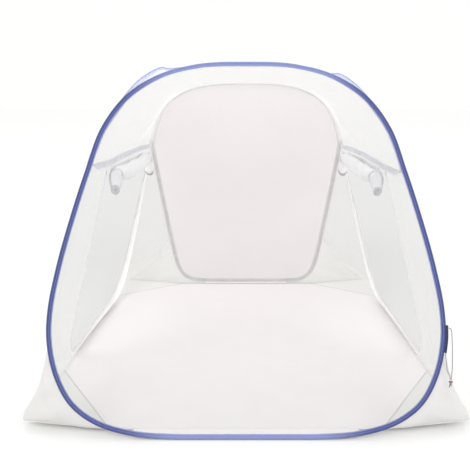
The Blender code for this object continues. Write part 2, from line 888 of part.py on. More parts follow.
def roll_ring(y, grow=0.0, sides=12):
    """Outline of the roll at y: round below, narrowing to the door's head above."""
    centre, radius = roll_section(y)
    radius += grow
    neck = smoothstep((y + 0.49) / 0.04) * smoothstep((0.50 - y) / 0.06)
    ring = []
    for k in range(sides):
        angle = 2 * math.pi * k / sides
        x = centre.x + radius * math.cos(angle)
        z = centre.z + radius * math.sin(angle)
        if k in (2, 3, 4):
            across = (3 - k) * (0.003 + grow)
            x = lerp(x, ROLL_X + 0.018 + across, neck)
            z = lerp(z, ROLL_HEAD_Z, neck)
        ring.append(Vector((x, y, z)))
    return ring


def build_rolls():
    stations = [lerp(ROLL_FRONT_Y, ROLL_REAR_Y, k / 20) for k in range(21)]
    for tie in TIE_Y:
        reach = (-0.025, -TIE_WIDTH / 2, TIE_WIDTH / 2, 0.025)
        stations = [y for y in stations if abs(y - tie) > 0.035]
        stations += [tie + r for r in reach]
    rings = [roll_ring(y) for y in sorted(stations)]
    loft("door_roll_right", rings, NET, False)
    loft("door_roll_left", [mirror(r) for r in rings], NET, False)
    for label, tie in zip(("front", "rear"), TIE_Y):
        ties = []
        for offset in (0.0018, 0.0018 + TIE_THICK):
            for y in (tie - TIE_WIDTH / 2, tie + TIE_WIDTH / 2):
                ring = roll_ring(y, grow=offset)
                low = [ring[k % 12] for k in range(16, 27)]  # head, round the bottom, head
                ties.append(low)
        inner_a, inner_b, outer_a, outer_b = ties
        loops = [
            [inner_a[k], inner_b[k], outer_b[k], outer_a[k]] for k in range(len(inner_a))
        ]
        loft("door_tie_" + label + "_right", loops, CLOTH, False, smooth=False)
        loft(
            "door_tie_" + label + "_left",
            [mirror(r) for r in loops],
            CLOTH,
            False,
            smooth=False,
        )


build_rolls()


# ------------------------------------------------------------------- sliders and pulls
def extrude_outline(name, outline, origin, u, v, w, half, mat, holes=()):
    """A plate from an outline in the u, v plane, half thick each way along w."""
    bm = bmesh.new()
    loops = [outline] + list(holes)
    if holes:
        hole = holes[0]
        n, m = len(outline), len(hole)
        for s in (-half, half):
            for ring in loops:
                for a, b in ring:
                    bm.verts.new(origin + u * a + v * b + w * s)
        bm.verts.ensure_lookup_table()
        vs = list(bm.verts)
        step = n + m
        for base in (0, step):
            for k in range(n):
                q = (k + 1) % n
                bm.faces.new((vs[base + k], vs[base + q], vs[base + n + q], vs[base + n + k]))
        for k in range(n):
            q = (k + 1) % n
            bm.faces.new((vs[k], vs[q], vs[step + q], vs[step + k]))
            bm.faces.new((vs[n + k], vs[n + q], vs[step + n + q], vs[step + n + k]))
    else:
        lower = [bm.verts.new(origin + u * a + v * b - w * half) for a, b in outline]
        face = bm.faces.new(lower)
        extruded = bmesh.ops.extrude_face_region(bm, geom=[face])
        moved = [g for g in extruded["geom"] if isinstance(g, bmesh.types.BMVert)]
        bmesh.ops.translate(bm, verts=moved, vec=w * (2 * half))
    bmesh.ops.recalc_face_normals(bm, faces=bm.faces)
    mesh = bpy.data.meshes.new(name)
    bm.to_mesh(mesh)
    bm.free()
    mesh.materials.append(mat)
    obj = bpy.data.objects.new(name, mesh)
    bpy.context.scene.collection.objects.link(obj)
    return obj


def place_at(obj, origin):
    """Moves the object's origin to a point, without moving its shape."""
    obj.data.transform(Matrix.Translation(-origin))
    obj.location = origin


def build_slider(front, right):
    side = 1 if right else -1
    opening = 1 if front else -1  # from the tape towards the opening
    label = ("front" if front else "rear") + "_" + ("right" if right else "left")
    down = Vector((WALL_DOWN.x * side, 0, WALL_DOWN.z))
    out = Vector((WALL_NORMAL.x * side, 0, WALL_NORMAL.z))
    along_y = Vector((0, opening, 0))
    edge_y = (DOOR_FRONT_Y if front else DOOR_REAR_Y) + opening * ZIP_WIDTH / 2
    seat = wall_point(edge_y, SLIDER_Z)
    seat = Vector((seat.x * side, seat.y, seat.z))

    w, d, s = SLIDER_HALF_WIDTH, SLIDER_HALF_DEPTH, SLIDER_SLOT
    profile = [(-w, -d), (w, -d), (w, d), (-w, d), (-w, s), (0.0006, s), (0.0006, -s), (-w, -s)]
    body = extrude_outline(
        "zip_slider_" + label, profile, seat, along_y, out, down, SLIDER_LENGTH / 2, SLIDER
    )
    h, b = BAIL_HEIGHT, BAIL_BAR
    e = BAIL_HALF_LENGTH
    foot = d - 0.0004
    arch = [
        (-e, foot),
        (-e + b, foot),
        (-e + b, d + h - b),
        (e - b, d + h - b),
        (e - b, foot),
        (e, foot),
        (e, d + h - 0.0008),
        (e - 0.0008, d + h),
        (-e + 0.0008, d + h),
        (-e, d + h - 0.0008),
    ]
    bail = extrude_outline(
        "bail_guide_" + label, arch, seat, down, out, along_y, BAIL_WIDTH / 2, SLIDER
    )
    bail.hide_render = True
    bail.display_type = "WIRE"
    union = body.modifiers.new("bail", "BOOLEAN")
    union.operation = "UNION"
    union.solver = "EXACT"
    union.object = bail

    pivot = seat + out * (d + (h - b) / 2)
    half = PULL_BAR / 2
    pw, hw = PULL_HALF_WIDTH, PULL_HOLE_HALF
    lower, tip = PULL_HOLE_END, PULL_LENGTH
    outline = [
        (-half, -pw + 0.0008),
        (-half, pw - 0.0008),
        (half, pw),
        (lower, pw),
        (tip - 0.003, pw + 0.0006),
        (tip, pw - 0.0018),
        (tip, -pw + 0.0018),
        (tip - 0.003, -pw - 0.0006),
        (lower, -pw),
        (half, -pw),
    ]
    hole = [
        (half, -hw * 0.5),
        (half, hw * 0.5),
        (half, hw),
        (lower * 0.6, hw),
        (lower, hw * 0.7),
        (lower, hw * 0.3),
        (lower, -hw * 0.3),
        (lower, -hw * 0.7),
        (lower * 0.6, -hw),
        (half, -hw),
    ]
    pull = extrude_outline(
        "zip_pull_" + label, outline, pivot, down, along_y, out, half, PULL, holes=[hole]
    )
    place_at(pull, pivot)


for is_front in (True, False):
    for is_right in (True, False):
        build_slider(is_front, is_right)


# ---------------------------------------------------------------------- hanging strap
def strap_point(x, z, forward=CORD_FORWARD):
    return Vector((x, hoop_plane(True, z) - forward, z))


def build_strap():
    """Doubled webbing on the hoop's side, with a thin cord looped from it to a knot."""
    side_line = cut(half_line(True), low=STRAP_ANCHOR_Z[0], high=STRAP_ANCHOR_Z[1])
    side_line = along(side_line, 6)
    clear = SLEEVE_R + 0.0012
    rings = []
    for p in side_line:
        a = Vector((p.x + clear, p.y, p.z))
        wide = Vector((0, -1, HOOP_LEAN)).normalized() * STRAP_ANCHOR_WIDTH / 2
        deep = Vector((STRAP_ANCHOR_DEPTH, 0, 0))
        forward = Vector((0, -0.004, 0))
        rings.append([a - wide + forward, a + wide + forward, a + wide + deep + forward, a - wide + deep + forward])
    loft("strap_anchor", rings, DARK_WEBBING, False, smooth=False)

    outer_face = max(p.x for p in side_line) + clear + STRAP_ANCHOR_DEPTH
    lower_x = side_line[0].x + clear + STRAP_ANCHOR_DEPTH / 2
    knot = strap_point(0.8060, 0.2220)
    outer = [
        strap_point(outer_face + 0.0024, 0.4250, 0.006),
        strap_point(outer_face + 0.0070, 0.4247, 0.007),
        strap_point(outer_face + 0.0105, 0.4215, 0.008),
        strap_point(outer_face + 0.0128, 0.4150, 0.009),
        strap_point(outer_face + 0.0135, 0.4000, 0.010),
        strap_point(outer_face + 0.0138, 0.3600),
        strap_point(outer_face + 0.0136, 0.3200),
        strap_point(outer_face + 0.0125, 0.2800),
        strap_point(0.8105, 0.2500),
        strap_point(0.8085, knot.z + KNOT_R + 0.0014),
    ]
    inner = [
        strap_point(lower_x, STRAP_ANCHOR_Z[0] - 0.0006, 0.005),
        strap_point(lower_x, 0.3180, 0.006),
        strap_point(lower_x + 0.0012, 0.2950, 0.009),
        strap_point(lower_x + 0.0038, 0.2650, 0.011),
        strap_point(0.8030, 0.2450),
        strap_point(0.8040, knot.z + KNOT_R + 0.0014),
    ]
    for name, route in (("strap_cord_outer", outer), ("strap_cord_inner", inner)):
        fine = catmull(route, False, 12)
        length = sum((fine[k + 1] - fine[k]).length for k in range(len(fine) - 1))
        points = along(fine, max(10, int(length / (2.6 * CORD_DIAMETER))))
        curve = bpy.data.curves.new(name, "CURVE")
        curve.dimensions = "3D"
        curve.bevel_depth = CORD_DIAMETER / 2
        curve.bevel_resolution = 2
        curve.use_fill_caps = True
        curve.render_resolution_u = 0
        spline = curve.splines.new("POLY")
        spline.points.add(len(points) - 1)
        for point, p in zip(spline.points, points):
            point.co = (*p, 1.0)
        curve.materials.append(GREY_CORD)
        obj = bpy.data.objects.new(name, curve)
        bpy.context.scene.collection.objects.link(obj)

    bm = bmesh.new()
    bmesh.ops.create_icosphere(bm, subdivisions=2, radius=1.0)
    for v in bm.verts:
        twist = 1 + 0.10 * math.sin(3 * math.atan2(v.co.y, v.co.x) + 2.0 * v.co.z)
        v.co = Vector((v.co.x * KNOT_R * twist, v.co.y * KNOT_R * 0.85 * twist, v.co.z * KNOT_R))
    bmesh.ops.translate(bm, verts=bm.verts, vec=knot)
    mesh = bpy.data.meshes.new("strap_knot")
    bm.to_mesh(mesh)
    bm.free()
    mesh.shade_smooth()
    mesh.materials.append(KNOT)
    obj = bpy.data.objects.new("strap_knot", mesh)
    bpy.context.scene.collection.objects.link(obj)


build_strap()
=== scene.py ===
"""Looks of the mosquito net tent: netting, bound hoops, zips, rolled doors and tie strap,
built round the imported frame. Metres, +Z up, -Y towards the front hoop.
"""

import math

import bmesh
import bpy
import numpy as np
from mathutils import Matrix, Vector, noise


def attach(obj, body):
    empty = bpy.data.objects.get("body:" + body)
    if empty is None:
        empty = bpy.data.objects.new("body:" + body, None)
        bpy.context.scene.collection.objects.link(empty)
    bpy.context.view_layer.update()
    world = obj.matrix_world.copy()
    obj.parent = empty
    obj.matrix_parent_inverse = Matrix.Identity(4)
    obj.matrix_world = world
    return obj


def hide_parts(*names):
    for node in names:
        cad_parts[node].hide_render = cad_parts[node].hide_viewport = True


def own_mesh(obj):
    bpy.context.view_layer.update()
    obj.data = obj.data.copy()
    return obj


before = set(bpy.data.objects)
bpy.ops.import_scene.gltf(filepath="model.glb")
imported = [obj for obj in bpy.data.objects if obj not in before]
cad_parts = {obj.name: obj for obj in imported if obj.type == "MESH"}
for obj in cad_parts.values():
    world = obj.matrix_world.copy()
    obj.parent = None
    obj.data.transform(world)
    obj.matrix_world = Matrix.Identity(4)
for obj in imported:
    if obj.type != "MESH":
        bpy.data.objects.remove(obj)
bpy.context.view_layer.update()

# ------------------------------------------------------------------------------ camera
PITCH = math.radians(12.293)
camera_data = bpy.data.cameras.new("camera")
camera_data.sensor_width = 36.0
camera_data.lens = 45.34
camera_data.shift_x = -0.0234
camera_data.clip_end = 200.0
camera = bpy.data.objects.new("camera", camera_data)
camera.location = (0.0, -3.178, 1.285)
camera.rotation_euler = (math.pi / 2 - PITCH, 0.0, 0.0)
bpy.context.scene.collection.objects.link(camera)
bpy.context.scene.camera = camera

# -------------------------------------------------------------- dimensions of the frame
BASE_HALF_WIDTH = 0.905
FLOOR_FRONT_Y = -0.998
FLOOR_REAR_Y = 1.030
FRONT_CREASE = ((0.905, -0.450), (0.555, -0.998))
REAR_CREASE = ((0.905, 0.710), (0.466, 1.030))
CORNER_RISE = 0.040

HOOP_Y = 1.070
HOOP_LEAN = 0.26
SLEEVE_BAND = 0.016
FRONT_OUTLINE = (
    (0.000, 0.0047),
    (0.150, 0.0047),
    (0.300, 0.0060),
    (0.455, 0.0190),
    (0.595, 0.0600),
    (0.695, 0.1320),
    (0.757, 0.2400),
    (0.787, 0.3700),
    (0.785, 0.4900),
    (0.752, 0.6600),
    (0.701, 0.8450),
    (0.640, 1.0350),
    (0.581, 1.1950),
    (0.484, 1.3230),
    (0.355, 1.4040),
    (0.190, 1.4470),
    (0.000, 1.4550),
)
REAR_OUTLINE = (
    (0.000, 0.0047),
    (0.150, 0.0047),
    (0.300, 0.0070),
    (0.408, 0.0200),
    (0.468, 0.0620),
    (0.502, 0.1250),
    (0.520, 0.1950),
    (0.545, 0.3500),
    (0.592, 0.6900),
    (0.628, 0.9700),
    (0.634, 1.0400),
    (0.619, 1.1120),
    (0.579, 1.2160),
    (0.513, 1.3090),
    (0.444, 1.3600),
    (0.360, 1.3990),
    (0.250, 1.4240),
    (0.120, 1.4350),
    (0.000, 1.4370),
)
ARCH_GAP = 0.036
ROOF_FRONT_ARCH = (
    (0.000, 1.4500),
    (0.150, 1.4495),
    (0.250, 1.4415),
    (0.298, 1.4330),
    (0.322, 1.4330),
    (0.345, 1.4370),
    (0.385, 1.422),
    (0.440, 1.385),
    (0.488, 1.333),
    (0.536, 1.268),
    (0.589, 1.190),
    (0.620, 1.115),
    (0.635, 1.078),
)
# the right shoulder of the front arch stands this much lower than the left one
RIGHT_SHOULDER = {
    0.298: 0.007,
    0.322: 0.018,
    0.345: 0.025,
    0.385: 0.011,
    0.440: 0.008,
    0.488: 0.003,
    0.536: -0.002,
}
ROOF_REAR_ARCH = (
    (0.000, 1.436),
    (0.120, 1.435),
    (0.250, 1.424),
    (0.360, 1.399),
    (0.444, 1.361),
    (0.513, 1.309),
    (0.579, 1.216),
    (0.619, 1.115),
    (0.630, 1.078),
)
TRIM_X = 0.634
TRIM_Z = 1.034
TRIM_RISE = 0.008
TURN_RUN = 0.060
# how far each side trim stands over or under its mean height, by its place along the tent
TRIM_LEFT = ((-0.75, 0.022), (-0.41, -0.004), (-0.20, 0.006), (0.31, 0.012), (0.55, 0.014), (0.78, 0.0))
TRIM_RIGHT = ((-0.81, -0.024), (-0.49, -0.026), (-0.25, -0.016), (0.0, -0.004), (0.34, 0.002), (0.70, 0.0))

NET_SEAM = 0.0072
NECK_SIDE = 0.075
NECK_TOP = 0.035
SILL_X = 0.455
REAR_SILL_X = 0.300
GUSSET_TOP = 0.355

WALL_X = 0.904
WALL_LEAN = 0.265
DOOR_FRONT_Y = -0.460
DOOR_REAR_Y = 0.762
DOOR_TOP_Z = 1.009
DOOR_BOTTOM_Z = 0.050
DOOR_CORNER = 0.200
ZIP_WIDTH = 0.014

# ---------------------------------------------------------------------------- geometry


def lerp(a, b, t):
    return a + (b - a) * t


def smoothstep(t):
    t = max(0.0, min(1.0, t))
    return t * t * (3 - 2 * t)


def catmull(points, closed, per_span=24):
    n = len(points)
    out = []
    spans = n if closed else n - 1
    for i in range(spans):
        if closed:
            p0, p1, p2, p3 = (points[(i + k - 1) % n] for k in range(4))
        else:
            p1, p2 = points[i], points[i + 1]
            p0 = points[i - 1] if i > 0 else p1 * 2 - p2
            p3 = points[i + 2] if i + 2 < n else p2 * 2 - p1
        t0 = 0.0
        t1 = t0 + math.sqrt((p1 - p0).length)
        t2 = t1 + math.sqrt((p2 - p1).length)
        t3 = t2 + math.sqrt((p3 - p2).length)
        for k in range(per_span):
            t = t1 + (t2 - t1) * k / per_span
            a1 = p0 * ((t1 - t) / (t1 - t0)) + p1 * ((t - t0) / (t1 - t0))
            a2 = p1 * ((t2 - t) / (t2 - t1)) + p2 * ((t - t1) / (t2 - t1))
            a3 = p2 * ((t3 - t) / (t3 - t2)) + p3 * ((t - t2) / (t3 - t2))
            b1 = a1 * ((t2 - t) / (t2 - t0)) + a2 * ((t - t0) / (t2 - t0))
            b2 = a2 * ((t3 - t) / (t3 - t1)) + a3 * ((t - t1) / (t3 - t1))
            out.append(b1 * ((t2 - t) / (t2 - t1)) + b2 * ((t - t1) / (t2 - t1)))
    if not closed:
        out.append(points[-1].copy())
    return out


def even(points, count, closed, bend=0.0, turn_of=None, turn_weight=0.0):
    n = len(points)
    ring = points + [points[0]] if closed else points
    weight = [0.0]
    for i in range(len(ring) - 1):
        step = (ring[i + 1] - ring[i]).length
        before = points[(i - 1) % n] if closed or i else ring[0]
        turn = 0.0
        u, w = ring[i] - before, ring[i + 1] - ring[i]
        if bend and u.length > 1e-9 and w.length > 1e-9:
            turn = u.angle(w)
        extra = 0.0
        if turn_of is not None:
            extra = turn_weight * abs(turn_of(ring[i + 1]) - turn_of(ring[i]))
        weight.append(weight[-1] + step + bend * turn + extra)
    total, out, j = weight[-1], [], 0
    for k in range(count if closed else count + 1):
        want = total * k / count
        while j < len(weight) - 2 and weight[j + 1] < want:
            j += 1
        span = weight[j + 1] - weight[j]
        t = 0.0 if span < 1e-12 else (want - weight[j]) / span
        out.append(ring[j].lerp(ring[j + 1], min(1.0, t)))
    return out


def along(points, count):
    return even(points, count, False)


def mirror(points):
    return [Vector((-p.x, p.y, p.z)) for p in points]


def floor_height(x, y):
    best = 0.0
    for (ax, ay), (bx, by) in (FRONT_CREASE, REAR_CREASE):
        corner_y = FLOOR_FRONT_Y if by < 0 else FLOOR_REAR_Y
        dx, dy = bx - ax, by - ay
        length = math.hypot(dx, dy)
        nx, ny = dy / length, -dx / length
        reach = (BASE_HALF_WIDTH - ax) * nx + (corner_y - ay) * ny
        if reach < 0:
            nx, ny, reach = -nx, -ny, -reach
        out = (abs(x) - ax) * nx + (y - ay) * ny
        best = max(best, CORNER_RISE * out / reach)
    return best


def hoop_plane(front, height, behind=0.0):
    y = -HOOP_Y + HOOP_LEAN * height + behind
    return y if front else -y


def end_hoop(outline, front, count):
    right = [Vector((x, hoop_plane(front, z), z)) for x, z in outline]
    left = mirror(right[1:-1])[::-1]
    return even(catmull(right + left, True), count, True, bend=0.05)


def tangents(line, closed):
    n = len(line)
    out = []
    for i in range(n):
        a = line[(i - 1) % n] if closed or i else line[0]
        b = line[(i + 1) % n] if closed or i < n - 1 else line[-1]
        out.append((b - a).normalized())
    return out


LEAN_LENGTH = math.hypot(1.0, HOOP_LEAN)
INTO_TENT = {
    True: Vector((0, 1, -HOOP_LEAN)) / LEAN_LENGTH,
    False: Vector((0, -1, -HOOP_LEAN)) / LEAN_LENGTH,
}


def inward_frames(line, front):
    across = INTO_TENT[front]
    middle = Vector((0, hoop_plane(front, 0.75), 0.75))
    frames = []
    for p, t in zip(line, tangents(line, True)):
        inward = across.cross(t).normalized()
        if inward.dot(middle - p) < 0:
            inward.negate()
        frames.append((inward, across))
    return frames


def half_line(front):
    outline = FRONT_OUTLINE if front else REAR_OUTLINE
    right = [Vector((x, hoop_plane(front, z), z)) for x, z in outline]
    return catmull(right, False)


def cut(line, low=None, high=None, from_x=None):
    out = []
    for p in line:
        if low is not None and p.z < low:
            continue
        if high is not None and p.z > high:
            continue
        if from_x is not None and p.x < from_x and p.z < 0.3:
            continue
        out.append(p)
    return out


def coons(left, right, bottom, top):
    nv, nu = len(left) - 1, len(bottom) - 1
    grid = []
    for i in range(nv + 1):
        v = i / nv
        row = []
        for j in range(nu + 1):
            u = j / nu
            p = left[i] * (1 - u) + right[i] * u
            p = p + bottom[j] * (1 - v) + top[j] * v
            p = p - (
                bottom[0] * (1 - u) * (1 - v)
                + bottom[-1] * u * (1 - v)
                + top[0] * (1 - u) * v
                + top[-1] * u * v
            )
            row.append(p)
        grid.append(row)
    return grid


def straight(a, b, count):
    return [a.lerp(b, k / count) for k in range(count + 1)]


def wave(p, scale, seed=0.0, octaves=3):
    q = Vector((p[0] / scale + seed, p[1] / scale - 0.7 * seed, p[2] / scale + 0.3 * seed))
    return noise.fractal(q, 1.0, 2.1, octaves)


# --------------------------------------------------------------------------- materials


def srgb(r, g, b):
    def lin(c):
        c /= 255.0
        return c / 12.92 if c <= 0.04045 else ((c + 0.055) / 1.055) ** 2.4

    return (lin(r), lin(g), lin(b))


class Graph:
    """Small helper that adds nodes to a material and links them."""

    def __init__(self, name, colour, roughness, metallic=0.0):
        self.mat = bpy.data.materials.new(name)
        self.mat.use_nodes = True
        self.mat.diffuse_color = (*colour, 1.0)
        self.tree = self.mat.node_tree
        self.bsdf = self.tree.nodes["Principled BSDF"]
        self.bsdf.inputs["Base Color"].default_value = (*colour, 1.0)
        self.bsdf.inputs["Roughness"].default_value = roughness
        self.bsdf.inputs["Metallic"].default_value = metallic
        self.colour = colour

    def node(self, kind, **settings):
        n = self.tree.nodes.new(kind)
        for key, value in settings.items():
            if key in n.inputs.keys():
                n.inputs[key].default_value = value
            else:
                setattr(n, key, value)
        return n

    def link(self, a, b):
        self.tree.links.new(a, b)

    def coords(self, scale, kind="UV"):
        tex = self.node("ShaderNodeTexCoord")
        mapping = self.node("ShaderNodeMapping")
        mapping.inputs["Scale"].default_value = scale
        self.link(tex.outputs[kind], mapping.inputs["Vector"])
        return mapping.outputs["Vector"]

    def math(self, op, a, b=None, c=None):
        n = self.node("ShaderNodeMath", operation=op)
        for socket, value in zip(n.inputs, (a, b, c)):
            if value is None:
                continue
            if isinstance(value, (int, float)):
                socket.default_value = value
            else:
                self.link(value, socket)
        return n.outputs[0]

    def mix(self, factor, a, b):
        n = self.node("ShaderNodeMix", data_type="RGBA")
        if isinstance(factor, (int, float)):
            n.inputs[0].default_value = factor
        else:
            self.link(factor, n.inputs[0])
        for socket, value in ((n.inputs[6], a), (n.inputs[7], b)):
            if isinstance(value, tuple):
                socket.default_value = (*value[:3], 1.0)
            else:
                self.link(value, socket)
        return n.outputs[2]

    def weave(self, pitch):
        """Over-and-under height of a plain weave with that thread pitch."""
        uv = self.coords((1.0, 1.0, 1.0))
        sep = self.node("ShaderNodeSeparateXYZ")
        self.link(uv, sep.inputs[0])
        k = math.pi / pitch
        u = self.math("SINE", self.math("MULTIPLY", sep.outputs[0], k))
        v = self.math("SINE", self.math("MULTIPLY", sep.outputs[1], k))
        return self.math("MULTIPLY", u, v)

    def mottle(self, scale, detail=3.0):
        n = self.node("ShaderNodeTexNoise", Scale=scale, Detail=detail, Roughness=0.6)
        self.link(self.coords((1.0, 1.0, 1.0), "Object"), n.inputs["Vector"])
        return n.outputs["Fac"]

    def bump(self, height, strength, distance):
        n = self.node("ShaderNodeBump", Strength=strength, Distance=distance)
        self.link(height, n.inputs["Height"])
        self.link(n.outputs["Normal"], self.bsdf.inputs["Normal"])
        return n

    def tint(self, factor, low, high):
        """Base colour runs from low to high with factor."""
        ramp = self.node("ShaderNodeMapRange")
        ramp.inputs["From Min"].default_value = 0.3
        ramp.inputs["From Max"].default_value = 0.7
        self.link(factor, ramp.inputs["Value"])
        colour = self.mix(ramp.outputs["Result"], low, high)
        return colour

    def paint(self, colour):
        self.link(colour, self.bsdf.inputs["Base Color"])

    def thin(self, colour, through, alpha):
        """Lets that share of the light shine through the cloth, and the rest of it past."""
        behind = self.node("ShaderNodeBsdfTranslucent")
        self.link(colour, behind.inputs["Color"])
        both = self.node("ShaderNodeMixShader")
        both.inputs[0].default_value = through
        self.link(self.bsdf.outputs[0], both.inputs[1])
        self.link(behind.outputs[0], both.inputs[2])
        out = self.tree.nodes["Material Output"]
        if alpha < 1.0:
            gaps = self.node("ShaderNodeBsdfTransparent")
            seen = self.node("ShaderNodeMixShader")
            seen.inputs[0].default_value = alpha
            self.link(gaps.outputs[0], seen.inputs[1])
            self.link(both.outputs[0], seen.inputs[2])
            both = seen
        self.link(both.outputs[0], out.inputs["Surface"])

    def rough(self, factor, low, high):
        ramp = self.node("ShaderNodeMapRange")
        ramp.inputs["From Min"].default_value = 0.3
        ramp.inputs["From Max"].default_value = 0.7
        ramp.inputs["To Min"].default_value = low
        ramp.inputs["To Max"].default_value = high
        self.link(factor, ramp.inputs["Value"])
        self.link(ramp.outputs["Result"], self.bsdf.inputs["Roughness"])


def scaled(colour, k):
    return tuple(min(1.0, c * k) for c in colour)


def share_of(g, ranges):
    """Rises from 0 to 1 where every one of the ranges of |x|, y and z is reached."""
    place = g.node("ShaderNodeSeparateXYZ")
    g.link(g.coords((1.0, 1.0, 1.0), "Object"), place.inputs[0])
    share = None
    for axis, start, end in ranges:
        ramp = g.node("ShaderNodeMapRange", interpolation_type="SMOOTHSTEP")
        ramp.inputs["From Min"].default_value = start
        ramp.inputs["From Max"].default_value = end
        where = place.outputs[axis]
        if axis == 0:
            where = g.math("ABSOLUTE", where)
        g.link(where, ramp.inputs["Value"])
        value = ramp.outputs["Result"]
        share = value if share is None else g.math("MULTIPLY", share, value)
    return share


def net_material(name, colour, alpha, pitch=0.0016, through=0.5, gathered=None, shades=()):
    """Fine knitted mesh: see-through all over, with its holes in colour and bump."""
    g = Graph(name, colour, 0.85)
    g.bsdf.inputs["Sheen Weight"].default_value = 0.15
    g.bsdf.inputs["Sheen Roughness"].default_value = 0.5
    cell = g.node("ShaderNodeTexVoronoi", Scale=1.0, Randomness=0.0)
    cell.feature = "DISTANCE_TO_EDGE"
    g.link(g.coords((1 / pitch, 1 / (pitch * 0.86), 1.0)), cell.inputs["Vector"])
    thread = g.math("MULTIPLY", cell.outputs["Distance"], 2.0)
    cloud = g.mottle(5.0, 2.0)
    base = g.tint(cloud, scaled(colour, 0.975), scaled(colour, 1.02))
    holes = g.mix(g.math("MINIMUM", thread, 1.0), base, scaled(colour, 0.93))
    for shade, *ranges in shades:
        holes = g.mix(share_of(g, ranges), holes, shade)
    g.paint(holes)
    g.rough(cloud, 0.80, 0.92)
    g.bump(g.math("SUBTRACT", 1.0, thread), 0.25, 0.0004)
    if through:
        g.thin(holes, through, alpha)
    if gathered:
        # netting drawn together lets less through; the first number is how much less
        dense = g.math("MULTIPLY_ADD", share_of(g, gathered[1:]), gathered[0], alpha)
        seen = g.tree.nodes["Material Output"].inputs["Surface"].links[0].from_node
        g.link(dense, seen.inputs[0])
    return g.mat


def cloth_material(
    name, colour, pitch, roughness=0.7, depth=0.0002, alpha=1.0, swing=0.03, through=0.0, corners=()
):
    """Plain-weave polyester; corners are painted shade: darker colours beyond lines across it."""
    g = Graph(name, colour, roughness)
    g.bsdf.inputs["Sheen Weight"].default_value = 0.12
    g.bsdf.inputs["Sheen Roughness"].default_value = 0.45
    cloud = g.mottle(7.0, 3.0)
    slub = g.node("ShaderNodeTexNoise", Scale=1.0, Detail=2.0)
    g.link(g.coords((1 / (pitch * 40), 1 / (pitch * 2.5), 1.0)), slub.inputs["Vector"])
    both = g.math("MULTIPLY_ADD", slub.outputs["Fac"], 0.5, g.math("MULTIPLY", cloud, 0.5))
    base = g.tint(both, scaled(colour, 1 - swing), scaled(colour, 1 + swing))
    for shade, ((ax, ay), (bx, by)), side in corners:
        place = g.node("ShaderNodeSeparateXYZ")
        g.link(g.coords((1.0, 1.0, 1.0), "Object"), place.inputs[0])
        nx, ny = side * (ay - by), side * (bx - ax)
        reach = math.hypot(nx, ny)
        nx, ny = nx / reach, ny / reach
        past = g.math(
            "MULTIPLY_ADD",
            g.math("ABSOLUTE", place.outputs[0]),
            nx,
            g.math("MULTIPLY_ADD", place.outputs[1], ny, -(nx * ax + ny * ay)),
        )
        ramp = g.node("ShaderNodeMapRange", interpolation_type="SMOOTHSTEP")
        ramp.inputs["From Min"].default_value = -0.003
        ramp.inputs["From Max"].default_value = 0.003
        g.link(past, ramp.inputs["Value"])
        base = g.mix(ramp.outputs["Result"], base, shade)
    g.paint(base)
    g.rough(cloud, roughness - 0.06, roughness + 0.06)
    g.bump(g.weave(pitch), 0.35, depth)
    if through:
        g.thin(base, through, alpha)
    return g.mat


def binding_material(name, colour, edge, stitches=(0.0062, 0.0138), shades=()):
    """Ribbed binding tape with two rows of machine stitches. V runs from the wire in."""
    g = Graph(name, colour, 0.72)
    g.bsdf.inputs["Sheen Weight"].default_value = 0.2
    g.bsdf.inputs["Sheen Roughness"].default_value = 0.4
    uv = g.coords((1.0, 1.0, 1.0))
    sep = g.node("ShaderNodeSeparateXYZ")
    g.link(uv, sep.inputs[0])
    u, v = sep.outputs[0], sep.outputs[1]
    rib = g.math("SINE", g.math("MULTIPLY", u, 2 * math.pi / 0.0009))
    cross = g.math("SINE", g.math("MULTIPLY", v, 2 * math.pi / 0.0007))
    ribs = g.math("MULTIPLY_ADD", cross, 0.4, rib)
    cloud = g.mottle(22.0, 4.0)
    base = g.tint(cloud, scaled(colour, 0.86), scaled(colour, 1.12))
    for shade, *ranges in shades:
        base = g.mix(share_of(g, ranges), base, shade)
    fade = g.node("ShaderNodeMapRange")
    fade.inputs["From Min"].default_value = 0.0115
    fade.inputs["From Max"].default_value = 0.0150
    g.link(v, fade.inputs["Value"])
    base = g.mix(g.math("MULTIPLY", fade.outputs["Result"], 0.55), base, edge)
    dash = g.math("GREATER_THAN", g.math("FRACT", g.math("DIVIDE", u, 0.0034)), 0.28)
    marks = None
    for row in stitches:
        near = g.math("LESS_THAN", g.math("ABSOLUTE", g.math("SUBTRACT", v, row)), 0.00042)
        mark = g.math("MULTIPLY", near, dash)
        marks = mark if marks is None else g.math("MAXIMUM", marks, mark)
    g.paint(g.mix(g.math("MULTIPLY", marks, 0.75), base, scaled(edge, 1.25)))
    height = g.math("MULTIPLY_ADD", marks, 3.0, ribs)
    g.rough(cloud, 0.66, 0.80)
    g.bump(height, 0.30, 0.00016)
    return g.mat


def metal_material(name, colour, roughness, grain=(900.0, 40.0)):
    g = Graph(name, colour, roughness, 1.0)
    n = g.node("ShaderNodeTexNoise", Scale=1.0, Detail=3.0)
    g.link(g.coords((grain[0], grain[1], grain[0]), "Object"), n.inputs["Vector"])
    g.paint(g.tint(n.outputs["Fac"], scaled(colour, 0.86), scaled(colour, 1.08)))
    g.rough(n.outputs["Fac"], roughness - 0.08, roughness + 0.12)
    g.bump(n.outputs["Fac"], 0.12, 0.00015)
    return g.mat


